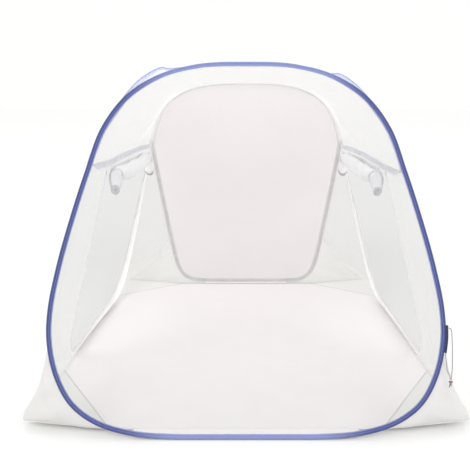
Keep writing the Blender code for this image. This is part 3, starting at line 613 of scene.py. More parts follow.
def tape_material(name, colour):
    """Zip tape: fine ribs across, with a row of darker stitches along it."""
    g = Graph(name, colour, 0.62)
    uv = g.coords((1.0, 1.0, 1.0))
    sep = g.node("ShaderNodeSeparateXYZ")
    g.link(uv, sep.inputs[0])
    rib = g.math("SINE", g.math("MULTIPLY", sep.outputs[0], 2 * math.pi / 0.0011))
    warp = g.math("SINE", g.math("MULTIPLY", sep.outputs[1], 2 * math.pi / 0.0008))
    stitch = g.math(
        "MULTIPLY",
        g.math("LESS_THAN", g.math("ABSOLUTE", g.math("SUBTRACT", sep.outputs[1], 0.0112)), 0.0005),
        g.math("GREATER_THAN", g.math("FRACT", g.math("DIVIDE", sep.outputs[0], 0.0036)), 0.3),
    )
    cloud = g.mottle(30.0)
    base = g.tint(cloud, scaled(colour, 0.97), scaled(colour, 1.03))
    g.paint(g.mix(g.math("MULTIPLY", stitch, 0.25), base, scaled(colour, 0.80)))
    g.rough(cloud, 0.55, 0.70)
    g.bump(g.math("MULTIPLY_ADD", warp, 0.5, g.math("MULTIPLY_ADD", stitch, 2.0, rib)), 0.30, 0.00015)
    g.thin(base, 0.55, 1.0)
    return g.mat


def moulded_material(name, colour, roughness):
    g = Graph(name, colour, roughness)
    g.bsdf.inputs["Coat Weight"].default_value = 0.15
    n = g.mottle(260.0, 2.0)
    g.paint(g.tint(n, scaled(colour, 0.97), scaled(colour, 1.02)))
    g.rough(n, roughness - 0.06, roughness + 0.08)
    g.bump(n, 0.08, 0.0001)
    return g.mat


def rope_material(name, colour):
    """Braided cord; U runs along it and V round it, both in metres."""
    g = Graph(name, colour, 0.8)
    uv = g.coords((1.0, 1.0, 1.0))
    sep = g.node("ShaderNodeSeparateXYZ")
    g.link(uv, sep.inputs[0])
    plus = g.math("ADD", sep.outputs[0], sep.outputs[1])
    minus = g.math("SUBTRACT", sep.outputs[0], sep.outputs[1])
    k = 2 * math.pi / 0.0022
    braid = g.math(
        "MAXIMUM",
        g.math("SINE", g.math("MULTIPLY", plus, k)),
        g.math("SINE", g.math("MULTIPLY", minus, k)),
    )
    cloud = g.mottle(90.0)
    # painted shade: the grooves between the braided strands are coloured darker than the strands' tops
    g.paint(
        g.mix(
            g.math("MULTIPLY_ADD", braid, 0.25, 0.25),
            scaled(colour, 0.78),
            g.tint(cloud, scaled(colour, 0.95), scaled(colour, 1.12)),
        )
    )
    g.bump(braid, 0.45, 0.0003)
    return g.mat


NAVY = binding_material(
    "navy_binding",
    srgb(54, 63, 116),
    srgb(140, 148, 190),
    # painted highlight: the navy is lighter across the middle of the hoops, fading in from |x| 0.52 to 0.28, at
    # their tops and bottoms alike
    shades=((srgb(110, 119, 163), (0, 0.52, 0.28)),),
)
REAR_TRIM = binding_material(
    "rear_binding_inner",
    srgb(194, 192, 191),
    srgb(204, 203, 203),
    shades=((srgb(242, 241, 240), (2, 1.035, 1.075), (0, 0.40, 0.50)),),
)
LAVENDER = binding_material(
    "lavender_binding",
    srgb(213, 215, 223),
    srgb(228, 229, 234),
    shades=(
        (srgb(138, 149, 187), (2, 1.07, 1.18), (1, -0.2, -0.4)),
        (srgb(243, 243, 243), (2, 1.34, 1.41), (1, -0.2, -0.4), (0, 0.30, 0.24)),
        (srgb(243, 243, 243), (2, 1.05, 1.09), (1, 0.2, 0.4), (0, 0.38, 0.48)),
    ),
)
# painted shade: the white front netting is coloured mid grey so it dims what is seen through it, and is painted
# lighter from z 0.98 up to 1.34, where more light falls on it
VEIL = net_material(
    "front_end_netting", srgb(145, 145, 146), 0.34, shades=((srgb(178, 178, 177), (2, 0.98, 1.34)),)
)
NET_ROOF = net_material(
    "roof_netting",
    srgb(251, 251, 249),
    0.58,
    gathered=(0.30, (0, 0.34, 0.46), (1, 0.20, 0.42), (2, 1.42, 1.36), (2, 1.06, 1.12)),
)
NET_SIDE = net_material("side_netting", srgb(247, 247, 244), 0.60)
NET_REAR = net_material("rear_netting", srgb(254, 242, 244), 0.62)
NET_STRIP = net_material("strip_netting", srgb(236, 237, 248), 0.60)
ROLLED = net_material(
    "rolled_netting",
    srgb(253, 253, 255),
    1.0,
    0.0022,
    0.05,
    shades=(
        # painted shade: the front tail of each roll is coloured greyer from y -0.448 to its front end
        (srgb(237, 236, 239), (1, -0.448, -0.468)),
        # painted shade: the last part of each rear tail, past y 0.472, is coloured dark grey for the shadowed
        # end of the roll
        (srgb(160, 158, 164), (1, 0.472, 0.492)),
    ),
)
# painted shade: the front corner gussets' white polyester is coloured light grey, darker than the rear gussets'
# cloth, for the shade on them
POLYESTER = cloth_material(
    "white_polyester", srgb(209, 208, 207), 0.0008, 0.66, 0.00018, 0.90, through=0.45
)
THIN_POLYESTER = cloth_material(
    "thin_white_polyester", srgb(246, 246, 243), 0.0008, 0.66, 0.00018, 0.85, through=0.4
)
SILL_CLOTH = cloth_material("sill_polyester", srgb(251, 249, 248), 0.0008, 0.66, 0.00018)
# the crease seams are real folds; their grey, darker than the floor, is painted shade of the creases
CREASE_SHADE_CLOTH = cloth_material("crease_shade_polyester", srgb(214, 212, 213), 0.0007, 0.7, 0.0002)
FLOOR_CLOTH = cloth_material(
    "floor_polyester",
    srgb(245, 241, 241),
    0.0009,
    0.62,
    0.00018,
    # painted shade: the turned-up corners of the floor beyond the creases are coloured darker grey
    corners=((srgb(235, 235, 232), FRONT_CREASE, 1), (srgb(238, 238, 235), REAR_CREASE, -1)),
)
TIE_CLOTH = cloth_material("tie_polyester", srgb(234, 233, 237), 0.0007, 0.7, 0.0002)
SEAM_BINDING = cloth_material(
    "seam_binding", srgb(249, 249, 247), 0.0006, 0.7, 0.00015, swing=0.01
)
TAPE = tape_material("white_zip_tape", srgb(247, 247, 246))
SLIDER_METAL = metal_material("slider_metal", srgb(214, 215, 220), 0.30)
PULL_PLASTIC = moulded_material("white_pull", srgb(240, 240, 240), 0.35)
WIRE_METAL = metal_material("sprung_wire", srgb(176, 178, 182), 0.30, (2500.0, 60.0))
CRIMP_METAL = metal_material("crimped_steel", srgb(205, 206, 209), 0.28)
DARK_WEBBING = cloth_material("dark_webbing", srgb(50, 54, 92), 0.0016, 0.78, 0.0004, swing=0.12)
GREY_CORD = rope_material("grey_cord", srgb(150, 150, 160))
KNOT_CORD = rope_material("knot_cord", srgb(138, 118, 124))

# ------------------------------------------------------------------------ mesh helpers


def make(name, verts, faces, mats, uvs=None, face_mats=None, smooth=True, angle=None):
    mesh = bpy.data.meshes.new(name)
    mesh.from_pydata([tuple(v) for v in verts], [], faces)
    mesh.update()
    for m in mats if isinstance(mats, (list, tuple)) else [mats]:
        mesh.materials.append(m)
    if face_mats is not None:
        mesh.polygons.foreach_set("material_index", face_mats)
    if uvs is not None:
        layer = mesh.uv_layers.new(name="UVMap")
        loops = np.zeros(len(mesh.loops), np.int32)
        mesh.loops.foreach_get("vertex_index", loops)
        table = np.array(uvs, np.float32)
        layer.data.foreach_set("uv", table[loops].ravel())
    if smooth:
        mesh.shade_smooth()
        if angle:
            mesh.set_sharp_from_angle(angle=math.radians(angle))
    obj = bpy.data.objects.new(name, mesh)
    bpy.context.scene.collection.objects.link(obj)
    return obj


def fold_with_tent(obj):
    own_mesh(obj)


def place(obj, body, nodes, slot, folds=True):
    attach(obj, body)
    if nodes:
        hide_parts(*nodes)
    if folds:
        fold_with_tent(obj)
    return obj


def grid_uv(grid):
    """Running lengths along the rows and columns of a grid, in metres."""
    rows, cols = len(grid), len(grid[0])
    out = []
    up = [0.0] * cols
    for i in range(rows):
        run = 0.0
        for j in range(cols):
            if j:
                run += (grid[i][j] - grid[i][j - 1]).length
            if i:
                up[j] += (grid[i][j] - grid[i - 1][j]).length
            out.append((run, up[j]))
    return out


def grid_mesh(name, grid, mat):
    rows, cols = len(grid), len(grid[0])
    verts = [p for row in grid for p in row]
    faces = [
        (i * cols + j, i * cols + j + 1, (i + 1) * cols + j + 1, (i + 1) * cols + j)
        for i in range(rows - 1)
        for j in range(cols - 1)
    ]
    return make(name, verts, faces, mat, grid_uv(grid))


def flat_area(grid):
    total = 0.0
    for i in range(len(grid) - 1):
        for j in range(len(grid[0]) - 1):
            a, b, c, d = grid[i][j], grid[i][j + 1], grid[i + 1][j + 1], grid[i + 1][j]
            total += ((b - a).cross(c - a).length + (c - a).cross(d - a).length) / 2
    return total


def cut_size(grid, curved):
    """Width and length of the rectangle that a grid's cloth is cut from, and its area."""
    area = flat_area(grid)
    if curved:
        width = max(sum((r[j + 1] - r[j]).length for j in range(len(r) - 1)) for r in grid)
        height = max(
            sum((grid[i + 1][j] - grid[i][j]).length for i in range(len(grid) - 1))
            for j in range(len(grid[0]))
        )
    else:
        points = np.array([tuple(p) for row in grid for p in row])
        points -= points.mean(axis=0)
        axes = np.linalg.svd(points, full_matrices=False)[2]
        best = None
        for step in range(90):
            angle = math.radians(step)
            a = axes[0] * math.cos(angle) + axes[1] * math.sin(angle)
            b = axes[1] * math.cos(angle) - axes[0] * math.sin(angle)
            spans = (np.ptp(points @ a), np.ptp(points @ b))
            if best is None or spans[0] * spans[1] < best[0] * best[1]:
                best = spans
        width, height = best
    width, height = round(width + 0.005, 2), round(height + 0.005, 2)
    low = 0.305 * width * height
    return (width, height), min(max(area, low), width * height)


def as_sheet(obj, grid, curved=False):
    flat, area = cut_size(grid, curved)
    print("sheet", obj.name, flat, round(area, 3))


def normals(grid):
    rows, cols = len(grid), len(grid[0])
    out = []
    for i in range(rows):
        line = []
        for j in range(cols):
            du = grid[i][min(j + 1, cols - 1)] - grid[i][max(j - 1, 0)]
            dv = grid[min(i + 1, rows - 1)][j] - grid[max(i - 1, 0)][j]
            n = du.cross(dv)
            line.append(n.normalized() if n.length > 1e-12 else Vector((0, 0, 1)))
        out.append(line)
    return out


def ripple(grid, depth, scale, seed, stretch=(1.0, 1.0, 1.0), margin=0.06):
    """Moves the inside of a grid along its normals by smooth noise; its edges stay."""
    rows, cols = len(grid), len(grid[0])
    nm = normals(grid)
    out = []
    for i, row in enumerate(grid):
        v = i / (rows - 1)
        line = []
        for j, p in enumerate(row):
            u = j / (cols - 1)
            edge = smoothstep(min(u, 1 - u) / margin) * smoothstep(min(v, 1 - v) / margin)
            q = (p.x * stretch[0], p.y * stretch[1], p.z * stretch[2])
            line.append(p + nm[i][j] * depth * edge * wave(q, scale, seed))
        out.append(line)
    return out


# ---------------------------------------------------------------------- bound hoops
BAND_OUTER = (
    (SLEEVE_BAND + 0.0004, 0.0009),
    (0.0150, 0.0013),
    (0.0140, 0.0012),
    (0.0120, 0.0016),
    (0.0090, 0.0018),
    (0.0065, 0.0015),
    (0.0050, 0.0022),
    (0.0034, 0.0034),
    (0.0012, 0.0043),
    (-0.0012, 0.0043),
    (-0.0032, 0.0033),
    (-0.0044, 0.0016),
    (-0.0046, 0.0),
)
BAND_INNER = (
    (SLEEVE_BAND + 0.0004, 0.0002),
    (0.0060, 0.0002),
    (0.0030, 0.0022),
    (0.0, 0.0031),
    (-0.0026, 0.0020),
    (-0.0034, 0.0),
)


def band_profile():
    outer = list(BAND_OUTER) + [(a, -b) for a, b in BAND_OUTER[-2::-1]]
    inner = list(BAND_INNER) + [(a, -b) for a, b in BAND_INNER[-2::-1]]
    return outer + inner[::-1], len(outer)


def binding(name, line, frames, mats, pick=None, seed=0.0, wider=None):
    """Folded binding tape round a wire, puckered by its stitching."""
    profile, outer_count = band_profile()
    m, n = len(profile), len(line)
    run = [0.0]
    for i in range(n):
        run.append(run[-1] + (line[(i + 1) % n] - line[i]).length)
    verts, uvs = [], []
    for i in range(n + 1):
        p = line[i % n]
        a, b = frames[i % n]
        s = run[i]
        grow = wider(p) if wider else 0.0
        for u, v in profile:
            far = max(0.0, u) / SLEEVE_BAND
            pucker = 0.00035 * math.sin(s * 2 * math.pi / 0.017 + seed) * far
            pucker += 0.0007 * noise.noise(Vector((s * 28, seed, 3.0 * (v > 0)))) * far
            swell = 1 + 0.06 * noise.noise(Vector((s * 40, seed + 9, 0)))
            verts.append(p + a * u * (1 + 0.012 * far + grow * far) + b * (v * swell + pucker))
            uvs.append((s, u))
    faces, slots = [], []
    for i in range(n):
        for k in range(m):
            q = (k + 1) % m
            faces.append((i * m + k, i * m + q, (i + 1) * m + q, (i + 1) * m + k))
            slots.append(0 if pick is None else pick(i, k, profile[k][1], outer_count))
    # the last ring repeats the first, so the texture runs on; it is joined to it below
    obj = make(name, verts, faces, mats, uvs, slots)
    bm = bmesh.new()
    bm.from_mesh(obj.data)
    bmesh.ops.remove_doubles(bm, verts=bm.verts, dist=1e-7)
    bmesh.ops.recalc_face_normals(bm, faces=bm.faces)
    bm.to_mesh(obj.data)
    bm.free()
    obj.data.shade_smooth()
    obj.data.set_sharp_from_angle(angle=math.radians(60))
    return obj


front_line = end_hoop(FRONT_OUTLINE, True, 420)
rear_line = end_hoop(REAR_OUTLINE, False, 380)
front_frames = inward_frames(front_line, True)
rear_frames = inward_frames(rear_line, False)

front_band = binding(
    "front_hoop_binding",
    front_line,
    front_frames,
    [NAVY],
    wider=lambda p: -0.22 * smoothstep((p.z - 1.36) / 0.07),
)
place(front_band, "front_hoop", ["front_hoop_sleeve"], "navy_binding", folds=False)


def rear_side(i, k, v, outer_count):
    return 1 if v > 0 or k >= outer_count else 0


rear_band = binding(
    "rear_hoop_binding",
    rear_line,
    rear_frames,
    [NAVY, REAR_TRIM],
    rear_side,
    2.0,
    wider=lambda p: 0.45 if p.z < 1.2 else lerp(0.45, 0.10, smoothstep((p.z - 1.2) / 0.2)),
)
place(rear_band, "rear_hoop", ["rear_hoop_sleeve"], "navy_binding", folds=False)


def roof_hoop_points():
    def arch(stations, front):
        return [Vector((x, hoop_plane(front, z, ARCH_GAP), z)) for x, z in stations]

    def turn(front):
        side = 1 if front else -1
        start = hoop_plane(front, TRIM_Z, ARCH_GAP)
        out = 0.011 if front else 0.0
        return [
            Vector((TRIM_X + 0.001 + out, start + side * 0.014, TRIM_Z + 0.008)),
            Vector((TRIM_X + 0.001 + out * 0.6, start + side * TURN_RUN, TRIM_Z)),
            Vector((TRIM_X + out * 0.2, start + side * 2.6 * TURN_RUN, TRIM_Z + 0.001)),
        ]

    def trim(front):
        side = -1 if front else 1
        return [Vector((TRIM_X - 0.002, side * 0.36, TRIM_Z + TRIM_RISE * 0.75))]

    middle = Vector((TRIM_X - 0.003, 0.0, TRIM_Z + TRIM_RISE))
    front_half = [middle] + trim(True) + turn(True)[::-1]
    front_half += arch(ROOF_FRONT_ARCH, True)[::-1]
    rear_half = arch(ROOF_REAR_ARCH, False) + turn(False) + trim(False)
    left_front = mirror(front_half)
    right_front = [
        Vector((q.x, q.y, q.z - RIGHT_SHOULDER.get(round(q.x, 3), 0.0)))
        for q in front_half[:-1][::-1]
    ]
    right_rear = rear_half[::-1]
    left_rear = mirror(rear_half[1:])
    return left_front + right_front + right_rear + left_rear


def trim_share(p):
    return smoothstep((abs(p.y - hoop_plane(p.y < 0, p.z, ARCH_GAP)) - 0.004) / 0.150)


def roof_frames(line):
    frames, into = [], []
    for p, t in zip(line, tangents(line, True)):
        front = p.y < 0
        w = trim_share(p)
        side = 1.0 if p.x > 0 else -1.0
        to_middle = Vector((-p.x, 0, 0.90 - p.z)).normalized()
        want = to_middle * (1 - w) + Vector((-0.12 * side, 0, -1)) * w
        a = (want - t * want.dot(t)).normalized()
        frames.append((a, t.cross(a).normalized()))
        roof = INTO_TENT[front] * (1 - w) + Vector((-0.22 * side, 0, 1)) * w
        into.append((roof - t * roof.dot(t)).normalized())
    return frames, into


roof_line = even(
    catmull(roof_hoop_points(), True),
    520,
    True,
    bend=0.06,
    turn_of=trim_share,
    turn_weight=0.25,
)
for p in roof_line:
    low = smoothstep((1.12 - p.z) / 0.07)
    heights = TRIM_LEFT if p.x < 0 else TRIM_RIGHT
    p.z += 0.6 * low * float(np.interp(p.y, *zip(*heights)))
roof_axes, roof_into = roof_frames(roof_line)
roof_band = binding(
    "roof_hoop_binding",
    roof_line,
    roof_axes,
    [LAVENDER],
    None,
    4.0,
    wider=lambda p: 0.42 * trim_share(p)
    - 0.55 * smoothstep((0.43 - abs(p.x)) / 0.08) * smoothstep((-0.2 - p.y) / 0.2),
)
place(roof_band, "tent_floor", ["roof_hoop_sleeve"], "pale_lavender_binding")


def tube(name, line, frames, radius, sides, mat, closed=True):
    n = len(line)
    verts, uvs, faces = [], [], []
    run = 0.0
    for i in range(n):
        a, b = frames[i]
        if i:
            run += (line[i] - line[i - 1]).length
        for k in range(sides):
            angle = 2 * math.pi * k / sides
            verts.append(line[i] + a * radius * math.cos(angle) + b * radius * math.sin(angle))
            uvs.append((run, radius * angle))
    for i in range(n if closed else n - 1):
        j = (i + 1) % n
        for k in range(sides):
            q = (k + 1) % sides
            faces.append((i * sides + k, i * sides + q, j * sides + q, j * sides + k))
    if not closed:
        faces.append(tuple(range(sides))[::-1])
        faces.append(tuple((n - 1) * sides + k for k in range(sides)))
    return make(name, verts, faces, mat, uvs)


roof_wire = tube("roof_hoop_spring_wire", roof_line, roof_axes, 0.0015, 8, WIRE_METAL)
place(roof_wire, "tent_floor", ["roof_hoop_wire"], "sprung_steel_wire")
crimp_line = roof_line[-1:] + roof_line[:2]
crimp_axes = roof_axes[-1:] + roof_axes[:2]
crimp_line = straight(crimp_line[1] - Vector((0, 0.018, 0)), crimp_line[1] + Vector((0, 0.018, 0)), 12)
crimp = tube(
    "roof_hoop_crimp",
    [p + Vector((0, 0, 0)) for p in crimp_line],
    [crimp_axes[1]] * 13,
    0.0024,
    12,
    CRIMP_METAL,
    closed=False,
)
place(crimp, "tent_floor", ["roof_hoop_ferrule"], "crimped_steel")

for node, mat in (
    ("front_hoop_wire", WIRE_METAL),
    ("rear_hoop_wire", WIRE_METAL),
    ("front_hoop_ferrule", CRIMP_METAL),
    ("rear_hoop_ferrule", CRIMP_METAL),
):
    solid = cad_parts[node]
    for place_in in solid.material_slots:
        place_in.material = mat

# ------------------------------------------------------------------------- end panels


def end_panel(name, line, frames, mat, depth, seed, belly):
    """Net stretched in an end hoop: rings of the hoop's own outline, with faint ripples."""
    inset = SLEEVE_BAND - 0.002
    edge = [p + a * inset for p, (a, b) in zip(line, frames)][::2]
    across = frames[0][1]
    centre = Vector((0, 0, 0))
    for p in edge:
        centre += p / len(edge)
    rings = 26
    n = len(edge)
    verts, faces, uvs = [], [], []
    for r in range(rings):
        t = 1 - (r / rings) ** 1.15
        for p in edge:
            q = centre.lerp(p, t)
            fall = 1 - t * t
            push = belly * fall + depth * smoothstep((1 - t) / 0.12) * wave(q, 0.22, seed)
            q = q + across * push
            verts.append(q)
            uvs.append((q.x, q.z))
    verts.append(centre + across * belly)
    uvs.append((centre.x, centre.z))
    for r in range(rings - 1):
        for k in range(n):
            q = (k + 1) % n
            faces.append((r * n + k, r * n + q, (r + 1) * n + q, (r + 1) * n + k))
    last = (rings - 1) * n
    for k in range(n):
        faces.append((last + k, last + (k + 1) % n, len(verts) - 1))
    obj = make(name, verts, faces, mat, uvs)
    return obj


veil = end_panel("front_end_net", front_line, front_frames, VEIL, 0.0015, 1.0, 0.004)
place(veil, "front_hoop", ["front_net"], "white_netting", folds=False)
back = end_panel("rear_end_net", rear_line, rear_frames, NET_REAR, 0.0020, 5.0, 0.004)
place(back, "rear_hoop", ["rear_net"], "white_netting", folds=False)

# -------------------------------------------------------------------------- roof panels


def corner_stations():
    found = []
    pairs = list(zip(roof_line, tangents(roof_line, True)))
    for front in (True, False):
        for side in (-1, 1):
            best = min(
                (i for i, (p, t) in enumerate(pairs) if p.x * side > 0.5 and (p.y < 0) == front),
                key=lambda i: abs(abs(pairs[i][1].y) - 0.70) + 4 * abs(pairs[i][0].z - 1.05),
            )
            found.append(best)
    return found


def between(first, last):
    n = len(roof_line)
    out, i = [], first
    while True:
        out.append(roof_line[i] + roof_into[i] * (NET_SEAM - 0.004))
        if i == last:
            return out
        i = (i + 1) % n


def build_roof():
    fl, fr, rl, rr = corner_stations()
    across, depth = 96, 56
    front = along(between(fl, fr), across)
    right = along(between(fr, rr), depth)
    rear = along(between(rr, rl), across)[::-1]
    left = along(between(rl, fl), depth)[::-1]
    grid = coons(left, right, front, rear)
    for i, row in enumerate(grid):
        v = i / depth
        bow = 4 * v * (1 - v)
        for j, p in enumerate(row):
            u = j / across
            um = min(u, 1 - u)
            shoulder = smoothstep((um - 0.015) / 0.10) * (1 - smoothstep((um - 0.20) / 0.13))
            crease = math.exp(-abs(um - 0.262) / 0.020)
            to_axis = Vector((-p.x, 0, 1.02 - p.z))
            if to_axis.length > 1e-6:
                to_axis.normalize()
            rear = lerp(0.75, 1.15, v)
            pull = bow * (0.052 * rear * shoulder + 0.012 * crease + 0.004 * smoothstep(um / 0.4))
            tension = 0.004 * wave((p.x * 5, p.y * 0.8, p.z * 5), 0.9, 3.0)
            tension *= smoothstep(min(v, 1 - v) / 0.08) * smoothstep(min(u, 1 - u) / 0.05)
            row[j] = p + to_axis * (pull + tension)
    obj = grid_mesh("roof_netting", grid, NET_ROOF)
    as_sheet(obj, grid, curved=True)
    place(obj, "tent_floor", ["roof_net"], "white_netting")


build_roof()


def arch_strip(name, hoop, front, node):
    level = 1.080
    end = [p for p in hoop if p.z > level - 0.02]
    end.sort(key=lambda p: math.atan2(p.z - 0.95, -p.x))
    end = along(end, 120)
    roof = [p for p in roof_line if p.z > level - 0.01 and (p.y < 0) == front]
    roof.sort(key=lambda p: math.atan2(p.z - 0.95, -p.x))
    roof = along(roof, 120)
    off = INTO_TENT[front] * 0.0035
    rows = 6
    grid = []
    for k in range(rows + 1):
        t = k / rows
        grid.append([(e + off).lerp(r - off, t) for e, r in zip(end, roof)])
    grid = ripple(grid, 0.003, 0.05, 7.0, margin=0.15)
    obj = grid_mesh(name, grid, NET_STRIP)
    as_sheet(obj, grid, curved=True)
    place(obj, "tent_floor", [node], "white_netting")


arch_strip("front_arch_netting", front_line, True, "front_arch_strip")
arch_strip("rear_arch_netting", rear_line, False, "rear_arch_strip")

# ------------------------------------------------------------------------------- floor


def build_floor():
    nx, ny = 72, 80
    grid = []
    for i in range(ny + 1):
        y = lerp(FLOOR_FRONT_Y, FLOOR_REAR_Y, i / ny)
        row = []
        for j in range(nx + 1):
            x = lerp(-BASE_HALF_WIDTH, BASE_HALF_WIDTH, j / nx)
            z = floor_height(x, y) + 0.0020
            edge = min(1 - abs(x) / BASE_HALF_WIDTH, (y - FLOOR_FRONT_Y) / 2, (FLOOR_REAR_Y - y) / 2)
            z += 0.0016 * smoothstep(edge / 0.03) * (0.6 + wave((x, y * 0.7, 0.0), 0.28, 2.0))
            row.append(Vector((x, y, z)))
        grid.append(row)
    obj = grid_mesh("floor_cloth", grid, FLOOR_CLOTH)
    as_sheet(obj, grid)
    solid = obj.modifiers.new("thickness", "SOLIDIFY")
    solid.thickness = 0.0006
    solid.offset = -1.0
    place(obj, "tent_floor", ["floor_sheet"], "floor_polyester")


build_floor()

FRONT_SEAM_POINTS = (
    (0.904, -0.9970, 0.0455),
    (0.893, -0.9945, 0.0800),
    (0.862, -0.9900, 0.1300),
    (0.832, -0.9850, 0.1900),
    (0.806, -0.9770, 0.2750),
    (0.7885, -0.9690, GUSSET_TOP),
)
REAR_SEAM_POINTS = (
    (0.904, 1.0290, 0.0455),
    (0.858, 1.0270, 0.0720),
    (0.765, 1.0180, 0.1250),
    (0.670, 1.0050, 0.2000),
    (0.598, 0.9880, 0.2780),
    (0.5480, 0.9670, GUSSET_TOP),
)


def corner_seam(front, count):
    points = FRONT_SEAM_POINTS if front else REAR_SEAM_POINTS
    return along(catmull([Vector(p) for p in points], False), count)


def base_edge(a, b, count, lift=0.0035):
    out = []
    for k in range(count + 1):
        x, y = lerp(a[0], b[0], k / count), lerp(a[1], b[1], k / count)
        out.append(Vector((x, y, floor_height(x, y) + lift)))
    return out


def both_sides(name, grid, mat, node, slot, vary=None):
    for label, flip in (("right", False), ("left", True)):
        g = [mirror(row) for row in grid] if flip else grid
        if vary:
            g = vary(g, 11.0 if flip else 0.0)
        obj = grid_mesh(name + "_" + label, g, mat)
        as_sheet(obj, g)
        place(obj, "tent_floor", [node + "_" + label], slot)


def build_gusset(front):
    start = SILL_X if front else REAR_SILL_X
    side = -1 if front else 1
    off = INTO_TENT[front] * 0.004
    count = 60
    hoop = cut(half_line(front), high=GUSSET_TOP, from_x=start + 0.001)
    inner = along([p + off for p in hoop], count)
    edge_y = (FLOOR_FRONT_Y if front else FLOOR_REAR_Y) + side * 0.0006
    rim = base_edge((start + 0.001, edge_y), (BASE_HALF_WIDTH - 0.004, edge_y), 28)
    seam = [p + Vector((0, side * 0.0006, 0)) for p in corner_seam(front, 32)]
    outer = rim + seam[1:]
    rows = 18
    grid = []
    for k in range(rows + 1):
        t = k / rows
        row = []
        for j, (a, b) in enumerate(zip(inner, outer)):
            q = a.lerp(b, t)
            u = j / count
            swell = math.sin(math.pi * t) * math.sin(math.pi * min(1.0, u * 1.05))
            fold = 0.010 * math.sin(9 * math.pi * u + 1.5 * t) * t * (1 - t) * 4
            fold += 0.006 * wave(q, 0.07, 4.0) * smoothstep(min(t, 1 - t) / 0.12)
            row.append(q + Vector((0, side * (0.012 * swell + fold * 0.5), 0.0)))
        grid.append(row)
    name = "front_corner_gusset" if front else "rear_corner_gusset"
    node = "front_gusset" if front else "rear_gusset"
    both_sides(name, grid, POLYESTER if front else THIN_POLYESTER, node, "white_polyester")


build_gusset(True)
build_gusset(False)


def build_sill(front):
    half = SILL_X if front else REAR_SILL_X
    line = half_line(front)
    off = INTO_TENT[front] * 0.004
    count = 40
    hoop_edge, floor_edge = [], []
    for k in range(-count, count + 1):
        x = half * k / count
        near = min(line, key=lambda p: abs(p.x - abs(x)) + (10 if p.z > 0.3 else 0))
        hoop_edge.append(Vector((x, near.y, near.z)) + off)
        y = FLOOR_FRONT_Y + 0.002 if front else FLOOR_REAR_Y - 0.002
        floor_edge.append(Vector((x, y, 0.0042)))
    grid = []
    for i in range(9):
        t = i / 8
        row = []
        for j, (a, b) in enumerate(zip(hoop_edge, floor_edge)):
            q = a.lerp(b, t)
            q.z = max(0.001, q.z + 0.004 * math.sin(math.pi * t) * (0.4 + wave(q, 0.06, 6.0)))
            row.append(q)
        grid.append(row)
    name = "front_sill_cloth" if front else "rear_sill_cloth"
    node = "front_sill" if front else "rear_sill"
    obj = grid_mesh(name, grid, SILL_CLOTH)
    as_sheet(obj, grid)
    if front:
        place(obj, "tent_floor", [node], "white_polyester")
    else:
        place(obj, "rear_hem", [node], "white_polyester", folds=False)


build_sill(True)
build_sill(False)

# ----------------------------------------------------------------------- walls and zips


def wall_point(y, z):
    return Vector((WALL_X - WALL_LEAN * z, y, z))


def door_edge(front, offset, arcs=24, rises=60):
    side = -1 if front else 1
    upright = DOOR_FRONT_Y if front else DOOR_REAR_Y
    centre_y = upright - side * DOOR_CORNER
    centre_z = DOOR_BOTTOM_Z + DOOR_CORNER
    r = DOOR_CORNER + offset
    arc = []
    for k in range(arcs + 1):
        angle = math.pi / 2 * k / arcs
        arc.append(wall_point(centre_y + side * r * math.sin(angle), centre_z - r * math.cos(angle)))
    rise = [
        wall_point(upright + side * offset, lerp(centre_z, DOOR_TOP_Z, k / rises))
        for k in range(1, rises + 1)
    ]
    return arc + rise


def build_wall(front):
    side = -1 if front else 1
    off = INTO_TENT[front] * 0.004
    edge = door_edge(front, ZIP_WIDTH / 2 - 0.002, 20, 40)
    foot = Vector((WALL_X - 0.0005, edge[0].y, 0.0035))
    right = [foot, foot.lerp(edge[0], 0.5)] + edge
    seam = [p + Vector((-0.0006, -side * 0.0006, 0)) for p in corner_seam(front, 24)]
    hoop = cut(half_line(front), low=GUSSET_TOP + 0.004, high=DOOR_TOP_Z + 0.006)
    rows = len(right) - 1
    left = seam + along([p + off for p in hoop], rows - len(seam))
    corner_y = (FLOOR_FRONT_Y if front else FLOOR_REAR_Y) - side * 0.001
    cols = 26
    bottom = base_edge((WALL_X - 0.0005, corner_y), (foot.x, foot.y), cols)
    bottom[0], bottom[-1] = left[0], right[0]
    upper = straight(left[-1], right[-1], cols)
    grid = coons(left, right, bottom, upper)

    def vary(g, seed):
        return ripple(g, 0.007, 0.16, 20.0 + seed, (1.0, 2.2, 0.5), 0.10)

    name = "side_netting_front" if front else "side_netting_rear"
    node = "side_net_front" if front else "side_net_rear"
    both_sides(name, grid, NET_SIDE, node, "white_netting", vary=vary)


build_wall(True)
build_wall(False)


def build_threshold():
    front = DOOR_FRONT_Y + DOOR_CORNER
    rear = DOOR_REAR_Y - DOOR_CORNER
    high = DOOR_BOTTOM_Z - ZIP_WIDTH / 2 + 0.002
    grid = []
    for k in range(7):
        z = lerp(0.0035, high, k / 6)
        grid.append([wall_point(lerp(front, rear, j / 60), z) for j in range(61)])

    def vary(g, seed):
        return ripple(g, 0.003, 0.09, 40.0 + seed, margin=0.2)

    both_sides("door_threshold_cloth", grid, SILL_CLOTH, "door_threshold", "white_polyester", vary=vary)


build_threshold()



WALL_NORMAL = Vector((1, 0, WALL_LEAN)).normalized()
WALL_DOWN = Vector((WALL_LEAN, 0, -1)).normalized()


def sided(points, left):
    return mirror(points) if left else points


